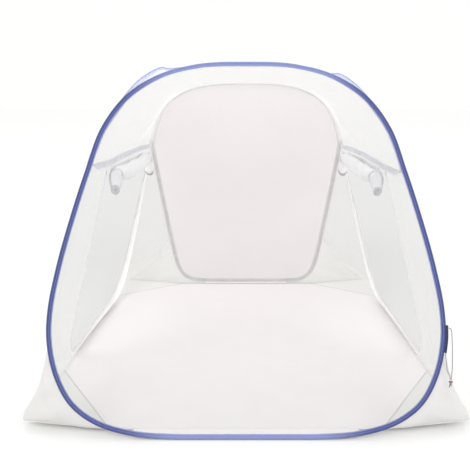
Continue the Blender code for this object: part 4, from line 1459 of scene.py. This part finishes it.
def build_zip(label, left):
    """Tape sewn to the wall, with its row of coil teeth along the opening."""
    width = ZIP_WIDTH
    inner = door_edge(True, -width / 2)[::-1] + door_edge(False, -width / 2)
    outer = door_edge(True, width / 2)[::-1] + door_edge(False, width / 2)
    thick = 0.0005
    verts, uvs = [], []
    run = 0.0
    steps = (0.0, 0.12, 0.5, 0.74, 0.82, 0.90, 1.0)
    lift = (1.0, 1.4, 1.0, 1.2, 0.7, 1.2, 1.0)
    ring = []
    for i, (a, b) in enumerate(zip(inner, outer)):
        if i:
            run += (a - inner[i - 1]).length
        row = []
        for t, h in zip(steps, lift):
            row.append((a.lerp(b, t) + WALL_NORMAL * thick * h, (run, width * t)))
        for t, h in zip(steps[::-1], lift[::-1]):
            row.append((a.lerp(b, t) - WALL_NORMAL * thick * h, (run, width * t)))
        ring.append(row)
    m = len(ring[0])
    for row in ring:
        for p, uv in row:
            verts.append(Vector((-p.x, p.y, p.z)) if left else p)
            uvs.append(uv)
    faces = []
    for i in range(len(ring) - 1):
        for k in range(m):
            q = (k + 1) % m
            faces.append((i * m + k, i * m + q, (i + 1) * m + q, (i + 1) * m + k))
    faces.append(tuple(range(m))[::-1])
    faces.append(tuple((len(ring) - 1) * m + k for k in range(m)))
    tape = make("door_zip_tape_" + label, verts, faces, TAPE, uvs)
    place(tape, "tent_floor", ["door_zip_" + label], "white_zip_tape")

    teeth_line = even(
        [p.copy() for p in door_edge(True, -width / 2 + 0.0016)[::-1] + door_edge(False, -width / 2 + 0.0016)],
        2000,
        False,
    )
    tans = tangents(teeth_line, False)
    sides = 6
    verts, faces, uvs = [], [], []
    for i, (p, t) in enumerate(zip(teeth_line, tans)):
        n = WALL_NORMAL
        w = t.cross(n).normalized()
        swell = 0.55 + 0.45 * math.cos(math.pi * i)
        radius = lerp(0.00075, 0.00135, swell)
        for k in range(sides):
            angle = 2 * math.pi * k / sides
            q = p + n * radius * math.sin(angle) + w * radius * 1.15 * math.cos(angle)
            verts.append(Vector((-q.x, q.y, q.z)) if left else q)
            uvs.append((i * 0.0014, 0.001 * k))
    for i in range(len(teeth_line) - 1):
        for k in range(sides):
            q = (k + 1) % sides
            faces.append((i * sides + k, i * sides + q, (i + 1) * sides + q, (i + 1) * sides + k))
    faces.append(tuple(range(sides))[::-1])
    faces.append(tuple((len(teeth_line) - 1) * sides + k for k in range(sides)))
    teeth = make("door_zip_teeth_" + label, verts, faces, PULL_PLASTIC, uvs)
    place(teeth, "tent_floor", [], "white_zip_tape")


build_zip("right", False)
build_zip("left", True)

# -------------------------------------------------------------------- rolled-up doors
ROLL_FRONT_Y = -0.514
ROLL_REAR_Y = 0.520
ROLL_X = 0.600
ROLL_Z = 0.979
ROLL_R = 0.029
ROLL_END_R = 0.0215
ROLL_DROOP = (0.064, 0.092)
ROLL_HEAD_Z = 1.010
TIE_Y = (-0.445, 0.430)
ROLL_TURNS = 9.5
RIGHT_ROLL = 3.0


ROLL_WIDTHS = (
    (-0.514, 0.0222),
    (-0.502, 0.0240),
    (-0.488, 0.0275),
    (-0.472, 0.0335),
    (-0.460, 0.0352),
    (-0.452, 0.0300),
    (-0.445, 0.0235),
    (-0.428, 0.0275),
    (-0.380, 0.0340),
    (-0.200, 0.0372),
    (0.000, 0.0380),
    (0.200, 0.0372),
    (0.350, 0.0335),
    (0.405, 0.0275),
    (0.430, 0.0235),
    (0.446, 0.0280),
    (0.470, 0.0325),
    (0.498, 0.0285),
    (0.520, 0.0205),
)


def roll_section(y, seed):
    """Centre and radius of the rolled door at a place along it."""
    radius = ROLL_WIDTHS[-1][1]
    for (a, wide), (b, next_wide) in zip(ROLL_WIDTHS, ROLL_WIDTHS[1:]):
        if y <= b:
            radius = lerp(wide, next_wide, smoothstep((y - a) / (b - a)))
            break
    squeeze = sum(math.exp(-(((y - tie) / 0.030) ** 2)) for tie in TIE_Y)
    along_swag = max(0.0, min(1.0, (y - TIE_Y[0]) / (TIE_Y[1] - TIE_Y[0])))
    radius += 0.0030 * noise.noise(Vector((y * 6, seed, 0))) * (1 - min(1.0, squeeze))
    droop = ROLL_DROOP[0] * smoothstep((TIE_Y[0] + 0.006 - y) / 0.072)
    droop += ROLL_DROOP[1] * smoothstep((y - TIE_Y[1] + 0.010) / 0.090)
    sag = 0.014 * math.sin(math.pi * along_swag)
    sag += 0.009 * noise.noise(Vector((y * 3.6, seed + 5, 1))) * math.sin(math.pi * along_swag)
    inward = 0.010 * smoothstep((-0.42 - y) / 0.12)
    sway = 0.003 * noise.noise(Vector((y * 4.0, seed + 8, 2)))
    if seed == RIGHT_ROLL:
        # the right trim hangs lower towards the front, so this roll keeps clear of it
        under = smoothstep((-0.13 - y) / 0.12)
        tail = smoothstep((-0.43 - y) / 0.05)
        inward += 0.006 * under * (1 - tail) - 0.005 * tail
        sag += 0.007 * under
        radius *= 1 - 0.06 * under
    return Vector((ROLL_X - inward + sway, y, ROLL_Z - droop - sag)), radius


def roll_curve(y, seed):
    """Section of the rolled cloth at y: a spiral, then its free run up to the door's head."""
    centre, radius = roll_section(y, seed)
    squeeze = sum(math.exp(-abs(y - tie) / 0.045) for tie in TIE_Y)
    neck = smoothstep((y + 0.475) / 0.045) * smoothstep((0.490 - y) / 0.06)
    core = 0.0020
    inner = ROLL_TURNS - 2.5
    shares = [k / 12 / ROLL_TURNS for k in range(int(inner * 12))]
    shares += [(inner + k / 30) / ROLL_TURNS for k in range(76)]
    heavy = 0.05 + 0.07 * math.sin(math.pi * max(0.0, min(1.0, (y - TIE_Y[0]) / (TIE_Y[1] - TIE_Y[0]))))
    points = []
    for f in shares:
        angle = 0.04 * math.pi - 2 * math.pi * ROLL_TURNS * (1 - f)
        r = core + (radius - core) * f
        around = (math.cos(angle + 4 * y), math.sin(angle + 4 * y), y * 7.0)
        fold = 0.150 * wave(around, 1.1, seed, 3)
        fold += 0.060 * squeeze * math.sin(7 * angle + 18 * y + 3 * seed)
        fold += 0.030 * math.sin(3 * angle + 26 * y + seed)
        lump = 1 + fold * smoothstep(f * 1.6)
        r *= lump
        # creases in the outer turns, which run slantwise along the roll
        slant = angle + 7.0 * y
        crease = noise.noise(
            Vector((1.5 * math.cos(slant), 1.5 * math.sin(slant), 6.5 * y + seed))
        )
        r -= 0.0030 * (1 - min(1.0, abs(crease) * 4.2)) ** 2 * smoothstep((f - 0.72) / 0.25)
        # the roll hangs a little heavier below
        drop = 1.0 + heavy * (1 - math.sin(angle)) * f
        points.append(
            Vector((centre.x + r * math.cos(angle), y, centre.z + r * math.sin(angle) * drop))
        )
    last = points[-1]
    under = smoothstep((-0.13 - y) / 0.10) if seed == RIGHT_ROLL else 0.0
    head = Vector((ROLL_X + 0.026 - 0.007 * under, y, ROLL_HEAD_Z - 0.004 * under))
    free = Vector((last.x - 0.001, y, last.z + 0.008))
    rise = 10
    for k in range(1, rise + 1):
        t = k / rise
        to = last.lerp(head, t)
        to.x += 0.004 * math.sin(math.pi * t) + 0.0025 * noise.noise(Vector((y * 22, seed, t * 2)))
        stub = last.lerp(free, t)
        points.append(stub.lerp(to, neck))
    return points


def build_hem(label, left, end_label, row):
    """Bound hem of the rolled cloth at one end of the roll, wound in with it."""
    line = even(row, 190, False)
    verts, faces, uvs = [], [], []
    sides = 6
    run = 0.0
    tans = tangents(line, False)
    for i, (p, t) in enumerate(zip(line, tans)):
        if i:
            run += (line[i] - line[i - 1]).length
        out = t.cross(Vector((0, 1, 0))).normalized()
        for k in range(sides):
            a = 2 * math.pi * k / sides
            verts.append(p + out * (0.00095 * math.cos(a)) + Vector((0, 0.0022 * math.sin(a), 0)))
            uvs.append((run, 0.001 * k))
    for i in range(len(line) - 1):
        for k in range(sides):
            q = (k + 1) % sides
            faces.append((i * sides + k, i * sides + q, (i + 1) * sides + q, (i + 1) * sides + k))
    faces.append(tuple(range(sides))[::-1])
    faces.append(tuple((len(line) - 1) * sides + k for k in range(sides)))
    if not left:
        faces = [f[::-1] for f in faces]
    obj = make("rolled_door_hem_" + end_label + "_" + label, verts, faces, TIE_CLOTH, uvs)
    place(obj, "rolled_door_" + label, [], "white_polyester")


def build_roll(label, left, seed):
    stations = [lerp(ROLL_FRONT_Y, ROLL_REAR_Y, k / 124) for k in range(125)]
    stations += [ROLL_FRONT_Y + d for d in (0.0022, 0.005)]
    stations += [ROLL_REAR_Y - d for d in (0.0022, 0.005)]
    for tie in TIE_Y:
        stations += [tie - 0.010, tie - 0.004, tie + 0.004, tie + 0.010]
    stations = sorted(stations)
    grid = []
    for i, y in enumerate(stations):
        row = roll_curve(y, seed)
        reach = min(i, len(stations) - 1 - i)
        if reach < 3:
            # at each end the turns stand out of one another a little, and their hems lean out
            side = -1 if i < 3 else 1
            centre, radius = roll_section(y, seed)
            for k, p in enumerate(row):
                f = k / len(row)
                out = 0.005 * noise.noise(Vector((f * 9, seed, side * 3.0))) + 0.004 * (f - 0.5)
                p.y += side * out * (1 - reach / 3)
                if reach == 0 and f < 0.84:
                    away = Vector((p.x - centre.x, 0, p.z - centre.z))
                    if away.length > 1e-6:
                        p += away.normalized() * 0.0015
        grid.append(row)
    if left:
        grid = [mirror(row) for row in grid]
    obj = grid_mesh("rolled_door_" + label, grid, ROLLED)
    as_sheet(obj, grid, curved=True)
    place(obj, "rolled_door_" + label, ["door_roll_" + label], "white_netting")
    build_hem(label, left, "front", grid[0])
    build_hem(label, left, "rear", grid[-1])


build_roll("right", False, RIGHT_ROLL)
build_roll("left", True, 8.0)


def ribbon(name, line, across, thick, mat):
    """A flat strip with rounded edges along a line; across gives its width at each place."""
    tans = tangents(line, False)
    verts, uvs, faces = [], [], []
    shape = ((-1, 0.0), (-0.92, 0.8), (-0.5, 1.0), (0.5, 1.0), (0.92, 0.8), (1, 0.0))
    shape = shape + tuple((a, -b) for a, b in shape[-2:0:-1])
    run = 0.0
    m = len(shape)
    for i, (p, t, w) in enumerate(zip(line, tans, across)):
        if i:
            run += (line[i] - line[i - 1]).length
        n = t.cross(w).normalized()
        for a, b in shape:
            verts.append(p + w * a + n * (b * thick / 2))
            uvs.append((run, w.length * a))
    for i in range(len(line) - 1):
        for k in range(m):
            q = (k + 1) % m
            faces.append((i * m + k, i * m + q, (i + 1) * m + q, (i + 1) * m + k))
    faces.append(tuple(range(m))[::-1])
    faces.append(tuple((len(line) - 1) * m + k for k in range(m)))
    return make(name, verts, faces, mat, uvs)


def build_seam_flap(label, left):
    """Flap of the wall sewn along the rear edge of a doorway, turned into the tent."""
    offset = ZIP_WIDTH / 2 + 0.0012
    rear = even(door_edge(False, offset), 300, False)
    front = even(door_edge(True, offset), 300, False)[:110][::-1]
    edge = front + rear
    low = (0.0, 0.0), (0.10, 0.006), (0.22, 0.010), (0.34, 0.020), (0.45, 0.036)
    high = (0.62, 0.042), (0.80, 0.034), (0.93, 0.018), (1.0, 0.004)
    table = low + high
    lengths = [0.0]
    for p, q in zip(edge, edge[1:]):
        lengths.append(lengths[-1] + (q - p).length)
    rows = []
    across = 8
    for k, (p, run) in enumerate(zip(edge, lengths)):
        wide = float(np.interp(run / lengths[-1], *zip(*table))) * (1.0 if left else 0.62)
        wide = max(0.0025, wide * (1 + 0.10 * noise.noise(Vector((run * 9, 7.0 * left, 2.0)))))
        sway = 0.10 * noise.noise(Vector((run * 6, 3.0, 5.0 * left)))
        inward = (-WALL_NORMAL + Vector((0, 0.22 + sway, 0))).normalized()
        row = []
        for j in range(across + 1):
            u = j / across
            bow = 0.10 * wide * math.sin(math.pi * u)
            q = p - WALL_NORMAL * 0.0008 + inward * wide * u + Vector((0, bow, 0))
            row.append(Vector((-q.x, q.y, q.z)) if left else q)
        rows.append(row)
    obj = grid_mesh("door_edge_flap_" + label, rows, SEAM_BINDING)
    as_sheet(obj, rows, curved=True)
    place(obj, "tent_floor", [], "white_polyester")


build_seam_flap("right", False)
build_seam_flap("left", True)


def build_seam_tape(label, left):
    """Tape over the seam between the zip and the wall's front net, on its inner face."""
    near = door_edge(True, ZIP_WIDTH / 2 + 0.0006)
    far = door_edge(True, ZIP_WIDTH / 2 + 0.0206)
    rows = []
    for p, q in zip(near, far):
        row = []
        for j in range(5):
            d = 0.020 * j / 4
            r = p.lerp(q, j / 4) - WALL_NORMAL * (0.0012 + 0.25 * d)
            row.append(Vector((-r.x, r.y, r.z)) if left else r)
        rows.append(row)
    obj = grid_mesh("door_seam_tape_" + label, rows, SEAM_BINDING)
    as_sheet(obj, rows, curved=True)
    place(obj, "tent_floor", [], "white_polyester")


build_seam_tape("right", False)
build_seam_tape("left", True)


def joined(name, pieces):
    """One object from several, with their materials kept."""
    bm = bmesh.new()
    mats = []
    for piece in pieces:
        mesh = piece.data
        index = []
        for m in mesh.materials:
            if m not in mats:
                mats.append(m)
            index.append(mats.index(m))
        before = len(bm.faces)
        bm.from_mesh(mesh)
        bm.faces.ensure_lookup_table()
        for f in bm.faces[before:]:
            f.material_index = index[min(f.material_index, len(index) - 1)]
    mesh = bpy.data.meshes.new(name)
    bm.to_mesh(mesh)
    bm.free()
    for m in mats:
        mesh.materials.append(m)
    for piece in pieces:
        bpy.data.objects.remove(piece)
    obj = bpy.data.objects.new(name, mesh)
    bpy.context.scene.collection.objects.link(obj)
    return obj


def build_floor_seams():
    """Stitched fold along each of the four lines where a corner of the floor turns up, in darker cloth as
    painted shade of the crease.
    """
    for place_label, crease in (("front", FRONT_CREASE), ("rear", REAR_CREASE)):
        for side_label, side in (("right", 1), ("left", -1)):
            (ax, ay), (bx, by) = crease
            line = []
            for k in range(61):
                t = k / 60
                x, y = lerp(ax - 0.003, bx, t), lerp(ay, by * 0.9985, t)
                wander = 0.0035 * noise.noise(Vector((t * 4, side * 3.0, ay)))
                z = floor_height(x, y) + 0.0040
                line.append(Vector((side * (x + wander), y + wander, z)))
            out = (line[-1] - line[0]).cross(Vector((0, 0, 1))).normalized()
            obj = ribbon(
                "floor_seam_" + place_label + "_" + side_label,
                line,
                [out * (0.0032 + 0.0006 * noise.noise(Vector((k * 0.3, side, 0)))) for k in range(61)],
                0.0016,
                CREASE_SHADE_CLOTH,
            )
            place(obj, "tent_floor", [], "floor_polyester")


build_floor_seams()


def build_tie(label, left, place_label, tie, seed):
    """Ribbon round the roll, knotted at its side, with two short ends."""
    points = []
    for k in range(49):
        angle = math.radians(100) - math.radians(20 + 320 * k / 48) + math.radians(10)
        centre, radius = roll_section(tie, seed)
        r = radius * 1.13 + 0.0016
        drop = 1.0 + 0.05 * (1 - math.sin(angle))
        points.append(
            Vector((centre.x + r * math.cos(angle), tie, centre.z + r * math.sin(angle) * drop))
        )
    head = Vector((ROLL_X + 0.026, tie, ROLL_HEAD_Z + 0.001))
    start = [head.lerp(points[0], t) for t in (0.0, 0.35, 0.7)]
    finish = [points[-1].lerp(head + Vector((-0.004, 0, 0)), t) for t in (0.35, 0.7, 1.0)]
    line = along(start + points + finish, 70)
    wide = Vector((0, 0.005, 0))
    band = ribbon("band", line, [wide] * len(line), 0.0012, TIE_CLOTH)
    centre, radius = roll_section(tie, seed)
    spot = Vector((centre.x - radius * 0.98 - 0.004, tie - 0.001, centre.z + 0.004))
    loops = []
    for k in range(40):
        a = 2 * math.pi * k / 39
        loops.append(
            spot
            + Vector((0.0028 * math.cos(2 * a), 0.0055 * math.sin(a), 0.0048 * math.sin(2 * a + 0.6)))
        )
    knot = ribbon("knot", loops, [Vector((0.0022, 0.0009, 0.0005))] * 40, 0.0014, TIE_CLOTH)
    ends = []
    for k, (dy, length) in enumerate(((-0.007, 0.040), (0.008, 0.031))):
        tail = [
            spot,
            spot + Vector((-0.003, dy * 0.6, -0.008)),
            spot + Vector((-0.004, dy * 1.2, -0.45 * length)),
            spot + Vector((-0.001, dy * 1.4, -length)),
        ]
        tail = along(catmull(tail, False), 18)
        ends.append(
            ribbon("end", tail, [Vector((0.0012, 0.0036, 0)) for _ in tail], 0.0009, TIE_CLOTH)
        )
    whole = [band, knot] + ends
    if left:
        for piece in whole:
            for v in piece.data.vertices:
                v.co.x = -v.co.x
            piece.data.flip_normals()
    obj = joined("roll_tie_" + place_label + "_" + label, whole)
    place(obj, "rolled_door_" + label, ["door_tie_" + place_label + "_" + label], "white_polyester")


for side_label, is_left, roll_seed in (("right", False, 3.0), ("left", True, 8.0)):
    build_tie(side_label, is_left, "front", TIE_Y[0], roll_seed)
    build_tie(side_label, is_left, "rear", TIE_Y[1], roll_seed)

# ------------------------------------------------------------------- sliders and pulls
SLIDER_Z = 0.980


def plate(bm, outline, origin, u, v, w, low, high, bevel, hole=None):
    """Extrudes an outline in the u, v plane from low to high along w and rounds its rims."""
    base = len(bm.verts)
    verts = []
    loops = [outline] + ([hole] if hole else [])
    for s in (low, high):
        for ring in loops:
            verts.append([bm.verts.new(origin + u * a + v * b + w * s) for a, b in ring])
    faces = []
    n = len(outline)
    if hole:
        for ring, inner in ((verts[0], verts[1]), (verts[2], verts[3])):
            for k in range(n):
                q = (k + 1) % n
                faces.append(bm.faces.new((ring[k], ring[q], inner[q], inner[k])))
        for a, b in ((verts[0], verts[2]), (verts[1], verts[3])):
            for k in range(n):
                q = (k + 1) % n
                faces.append(bm.faces.new((a[k], a[q], b[q], b[k])))
    else:
        faces.append(bm.faces.new(verts[0]))
        faces.append(bm.faces.new(verts[1]))
        for k in range(n):
            q = (k + 1) % n
            faces.append(bm.faces.new((verts[0][k], verts[0][q], verts[1][q], verts[1][k])))
    bmesh.ops.recalc_face_normals(bm, faces=faces)
    rims = {e for f in faces for e in f.edges if len(e.link_faces) == 2}
    rims = [e for e in rims if e.calc_face_angle(0.0) > math.radians(50)]
    bmesh.ops.bevel(bm, geom=rims, offset=bevel, segments=2, profile=0.6, affect="EDGES")
    return base


def finish_solid(bm, name, mat):
    mesh = bpy.data.meshes.new(name)
    bm.to_mesh(mesh)
    bm.free()
    mesh.materials.append(mat)
    mesh.shade_smooth()
    mesh.set_sharp_from_angle(angle=math.radians(40))
    obj = bpy.data.objects.new(name, mesh)
    bpy.context.scene.collection.objects.link(obj)
    return obj


def build_slider(front, right):
    side = 1 if right else -1
    opening = 1 if front else -1
    label = ("front" if front else "rear") + "_" + ("right" if right else "left")
    down = Vector((WALL_DOWN.x * side, 0, WALL_DOWN.z))
    out = Vector((WALL_NORMAL.x * side, 0, WALL_NORMAL.z))
    along_y = Vector((0, opening, 0))
    edge_y = (DOOR_FRONT_Y if front else DOOR_REAR_Y) + opening * ZIP_WIDTH / 2
    seat = wall_point(edge_y, SLIDER_Z)
    seat = Vector((seat.x * side, seat.y, seat.z))

    bm = bmesh.new()
    shield = [
        (-0.0036, -0.0080), (0.0036, -0.0080), (0.0049, -0.0060), (0.0050, -0.0015),
        (0.0043, 0.0035), (0.0036, 0.0076), (-0.0036, 0.0076), (-0.0043, 0.0035),
        (-0.0050, -0.0015), (-0.0049, -0.0060),
    ]  # fmt: skip
    plate(bm, shield, seat, along_y, down, out, 0.0012, 0.0024, 0.0003)
    plate(bm, shield, seat, along_y, down, out, -0.0024, -0.0012, 0.0003)
    post = [(0.0010, -0.0076), (0.0036, -0.0076), (0.0036, -0.0020), (0.0010, -0.0008)]
    plate(bm, post, seat, along_y, down, out, -0.0014, 0.0014, 0.0002)
    lip = [(0.0036, -0.0050), (0.0049, -0.0050), (0.0043, 0.0062), (0.0034, 0.0062)]
    plate(bm, lip, seat, along_y, down, out, 0.0003, 0.0014, 0.0002)
    plate(bm, lip, seat, along_y, down, out, -0.0014, -0.0003, 0.0002)
    mark = [(-0.0022, 0.0056), (0.0022, 0.0056), (0.0022, 0.0066), (-0.0022, 0.0066)]
    plate(bm, mark, seat, along_y, down, out, 0.0022, 0.0027, 0.0001)
    bail = []
    for k in range(17):
        angle = math.pi * k / 16
        bail.append(seat + down * (-0.0044 * math.cos(angle)) + out * (0.0019 + 0.0040 * math.sin(angle) ** 0.6))
    body = finish_solid(bm, "slider_body", SLIDER_METAL)
    frames = [(along_y, t.cross(along_y).normalized()) for t in tangents(bail, False)]
    arch = tube("slider_bail", bail, frames, 0.00085, 10, SLIDER_METAL, closed=False)
    arch.data.shade_smooth()
    slider = joined("slider_" + label, [body, arch])
    place(slider, "slider_" + label, ["zip_slider_" + label], "slider_metal")

    pivot = seat + out * (0.0024 + 0.00125)
    bm = bmesh.new()
    width = (0.0026, 0.0034, 0.0036, 0.0036, 0.0040, 0.0042, 0.0036, 0.0016)
    reach = (-0.0006, 0.0000, 0.0040, 0.0080, 0.0140, 0.0270, 0.0292, 0.0300)
    outline = [(r, w) for r, w in zip(reach, width)] + [(r, -w) for r, w in zip(reach, width)][::-1]
    hole = []
    for a, b in outline:
        ha = 0.0007 + (min(a, 0.0078) + 0.0006) / 0.0084 * 0.0060
        hole.append((ha, b * 0.52 if a < 0.0079 else b * 0.30))
    plate(bm, outline, pivot, down, along_y, out, -0.0006, 0.0006, 0.0002, hole)
    for k in range(5):
        at = 0.0130 + 0.0028 * k
        rib = [(at, -0.0028), (at + 0.0011, -0.0028), (at + 0.0011, 0.0028), (at, 0.0028)]
        plate(bm, rib, pivot, down, along_y, out, 0.0004, 0.0010, 0.00015)
        plate(bm, rib, pivot, down, along_y, out, -0.0010, -0.0004, 0.00015)
    pull = finish_solid(bm, "pull_" + label, PULL_PLASTIC)
    place(pull, "pull_" + label, ["zip_pull_" + label], "white_pull")


for is_front in (True, False):
    for is_right in (True, False):
        build_slider(is_front, is_right)

# ---------------------------------------------------------------------- hanging strap
STRAP_ANCHOR_Z = (0.330, 0.436)
STRAP_ANCHOR_DEPTH = 0.0055
CORD_DIAMETER = 0.004
CORD_FORWARD = 0.012
KNOT_R = 0.0085
SLEEVE_R = 0.0046


def strap_point(x, z, forward=CORD_FORWARD):
    return Vector((x, hoop_plane(True, z) - forward, z))


def cord_tube(name, route, mat):
    fine = catmull(route, False, 16)
    line = along(fine, max(24, int(sum((b - a).length for a, b in zip(fine, fine[1:])) / 0.0016)))
    up = Vector((0, 1, 0))
    frames = []
    for t in tangents(line, False):
        a = (up - t * up.dot(t)).normalized()
        frames.append((a, t.cross(a).normalized()))
    obj = tube(name, line, frames, CORD_DIAMETER / 2, 12, mat, closed=False)
    length = sum((b - a).length for a, b in zip(line, line[1:]))
    return obj, line, length


def build_strap():
    side_line = cut(half_line(True), low=STRAP_ANCHOR_Z[0], high=STRAP_ANCHOR_Z[1])
    side_line = along(side_line, 40)
    clear = SLEEVE_R + 0.0008
    deep = STRAP_ANCHOR_DEPTH
    half = 0.0008
    outer_side, inner_side = [], []
    for k, p in enumerate(side_line):
        t = k / 40
        bulge = 0.0007 * math.sin(math.pi * t) - 0.0004 * math.sin(3 * math.pi * t)
        outer_side.append(Vector((p.x + clear + deep - half + bulge * 0.4, p.y - 0.004, p.z)))
        inner_side.append(Vector((p.x + clear + half, p.y - 0.004, p.z)))
    turn_low, turn_high = [], []
    for k in range(1, 8):
        angle = math.pi * k / 8
        for out, ends, way in ((turn_low, 0, -1), (turn_high, -1, 1)):
            a, b = outer_side[ends], inner_side[ends]
            mid, r = (a + b) / 2, (a - b).length / 2
            out.append(mid + (a - b) / 2 * math.cos(angle) + Vector((0, 0, way * r * math.sin(angle))))
    loop = outer_side + turn_high + inner_side[::-1] + turn_low[::-1]
    loop.append(loop[0].copy())
    wide = Vector((0, -1, HOOP_LEAN)).normalized() * 0.007
    webbing = ribbon("hoop_strap_webbing", loop, [wide] * len(loop), 0.0015, DARK_WEBBING)
    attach(webbing, "front_hoop")
    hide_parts("strap_anchor")

    outer_face = max(p.x for p in side_line) + SLEEVE_R + 0.0012 + deep
    lower_x = side_line[0].x + SLEEVE_R + 0.0012 + deep / 2
    knot = strap_point(0.8060, 0.2220)
    outer = [
        strap_point(outer_face + 0.0024, 0.4250, 0.006),
        strap_point(outer_face + 0.0070, 0.4247, 0.007),
        strap_point(outer_face + 0.0105, 0.4215, 0.008),
        strap_point(outer_face + 0.0128, 0.4150, 0.009),
        strap_point(outer_face + 0.0135, 0.4000, 0.010),
        strap_point(outer_face + 0.0138, 0.3600),
        strap_point(outer_face + 0.0136, 0.3200),
        strap_point(outer_face + 0.0125, 0.2800),
        strap_point(0.8105, 0.2500),
        strap_point(0.8085, knot.z + KNOT_R + 0.0014),
    ]
    inner = [
        strap_point(lower_x, STRAP_ANCHOR_Z[0] - 0.0006, 0.005),
        strap_point(lower_x, 0.3180, 0.006),
        strap_point(lower_x + 0.0012, 0.2950, 0.009),
        strap_point(lower_x + 0.0038, 0.2650, 0.011),
        strap_point(0.8030, 0.2450),
        strap_point(0.8040, knot.z + KNOT_R + 0.0014),
    ]
    turns = []
    for k in range(120):
        a = 2 * math.pi * k / 120
        x = math.sin(a) + 1.7 * math.sin(2 * a)
        z = math.cos(a) - 1.7 * math.cos(2 * a)
        y = -1.3 * math.sin(3 * a)
        turns.append(knot + Vector((x * 0.0024, y * 0.0022, z * 0.0025)))
    tans = tangents(turns, True)
    frames = []
    a = Vector((0, 1, 0))
    for t in tans:
        a = (a - t * a.dot(t)).normalized()
        frames.append((a, t.cross(a).normalized()))
    bundle = tube("knot_bundle", turns, frames, 0.0020, 10, KNOT_CORD)
    ends = []
    for dx, dy, dz in ((-0.0030, -0.001, -0.021), (0.0022, 0.001, -0.017)):
        route = [
            knot + Vector((dx * 0.3, dy, -0.003)),
            knot + Vector((dx * 0.9, dy, dz * 0.45)),
            knot + Vector((dx * 1.5, dy, dz)),
        ]
        end, _, _ = cord_tube("knot_end", route, KNOT_CORD)
        ends.append(end)
    whole = joined("strap_knot_bundle", [bundle] + ends)
    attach(whole, "front_hoop")
    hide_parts("strap_knot")
    for label, route in (("outer", outer), ("inner", inner)):
        cord, line, length = cord_tube("hanging_cord_" + label, route, GREY_CORD)
        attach(cord, "front_hoop")
        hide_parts("strap_cord_" + label)
        print("cord", label, round(length, 4))


build_strap()

# ------------------------------------------------------------------- floor and backdrop
floor_mesh = bpy.data.meshes.new("studio_floor")
bm = bmesh.new()
bmesh.ops.create_circle(bm, cap_ends=True, segments=96, radius=300.0)
bmesh.ops.translate(bm, verts=bm.verts, vec=(0, 0, -0.0015))
bm.to_mesh(floor_mesh)
bm.free()
studio = Graph("studio_floor", srgb(221, 221, 220), 0.95)
reach = studio.node("ShaderNodeVectorMath", operation="LENGTH")
studio.link(studio.coords((1.0, 1.0, 0.0), "Object"), reach.inputs[0])
ramp = studio.node("ShaderNodeMapRange")
ramp.inputs["From Min"].default_value = 2.0
ramp.inputs["From Max"].default_value = 15.0
studio.link(reach.outputs["Value"], ramp.inputs["Value"])
studio.paint(studio.mix(ramp.outputs["Result"], srgb(221, 221, 220), (0.99, 0.99, 0.985)))
floor_mesh.materials.append(studio.mat)
floor_obj = bpy.data.objects.new("studio_floor", floor_mesh)
bpy.context.scene.collection.objects.link(floor_obj)

world = bpy.data.worlds.new("studio")
world.use_nodes = True
world.node_tree.nodes["Background"].inputs["Color"].default_value = (1.0, 1.0, 0.996, 1.0)
world.node_tree.nodes["Background"].inputs["Strength"].default_value = 1.0
bpy.context.scene.world = world
bpy.context.scene.view_settings.view_transform = "Standard"
bpy.context.scene.cycles.transparent_max_bounces = 24


def softbox(name, location, target, size, power):
    data = bpy.data.lights.new(name, "AREA")
    data.shape = "RECTANGLE"
    data.size, data.size_y = size
    data.energy = power
    obj = bpy.data.objects.new(name, data)
    obj.location = location
    obj.rotation_euler = (Vector(target) - Vector(location)).to_track_quat("-Z", "Y").to_euler()
    bpy.context.scene.collection.objects.link(obj)


softbox("key", (-6.0, -9.0, 7.5), (0, 0.3, 0.6), (7.0, 5.0), 620)
softbox("fill", (6.5, -8.5, 6.0), (0, 0.3, 0.6), (6.0, 5.0), 430)
softbox("top", (0.0, 3.0, 12.0), (0, 0, 0.4), (9.0, 9.0), 230)
softbox("left", (-12.0, 1.5, 4.5), (0, 0.2, 0.6), (8.0, 5.0), 130)
softbox("right", (12.0, 1.5, 4.5), (0, 0.2, 0.6), (8.0, 5.0), 130)
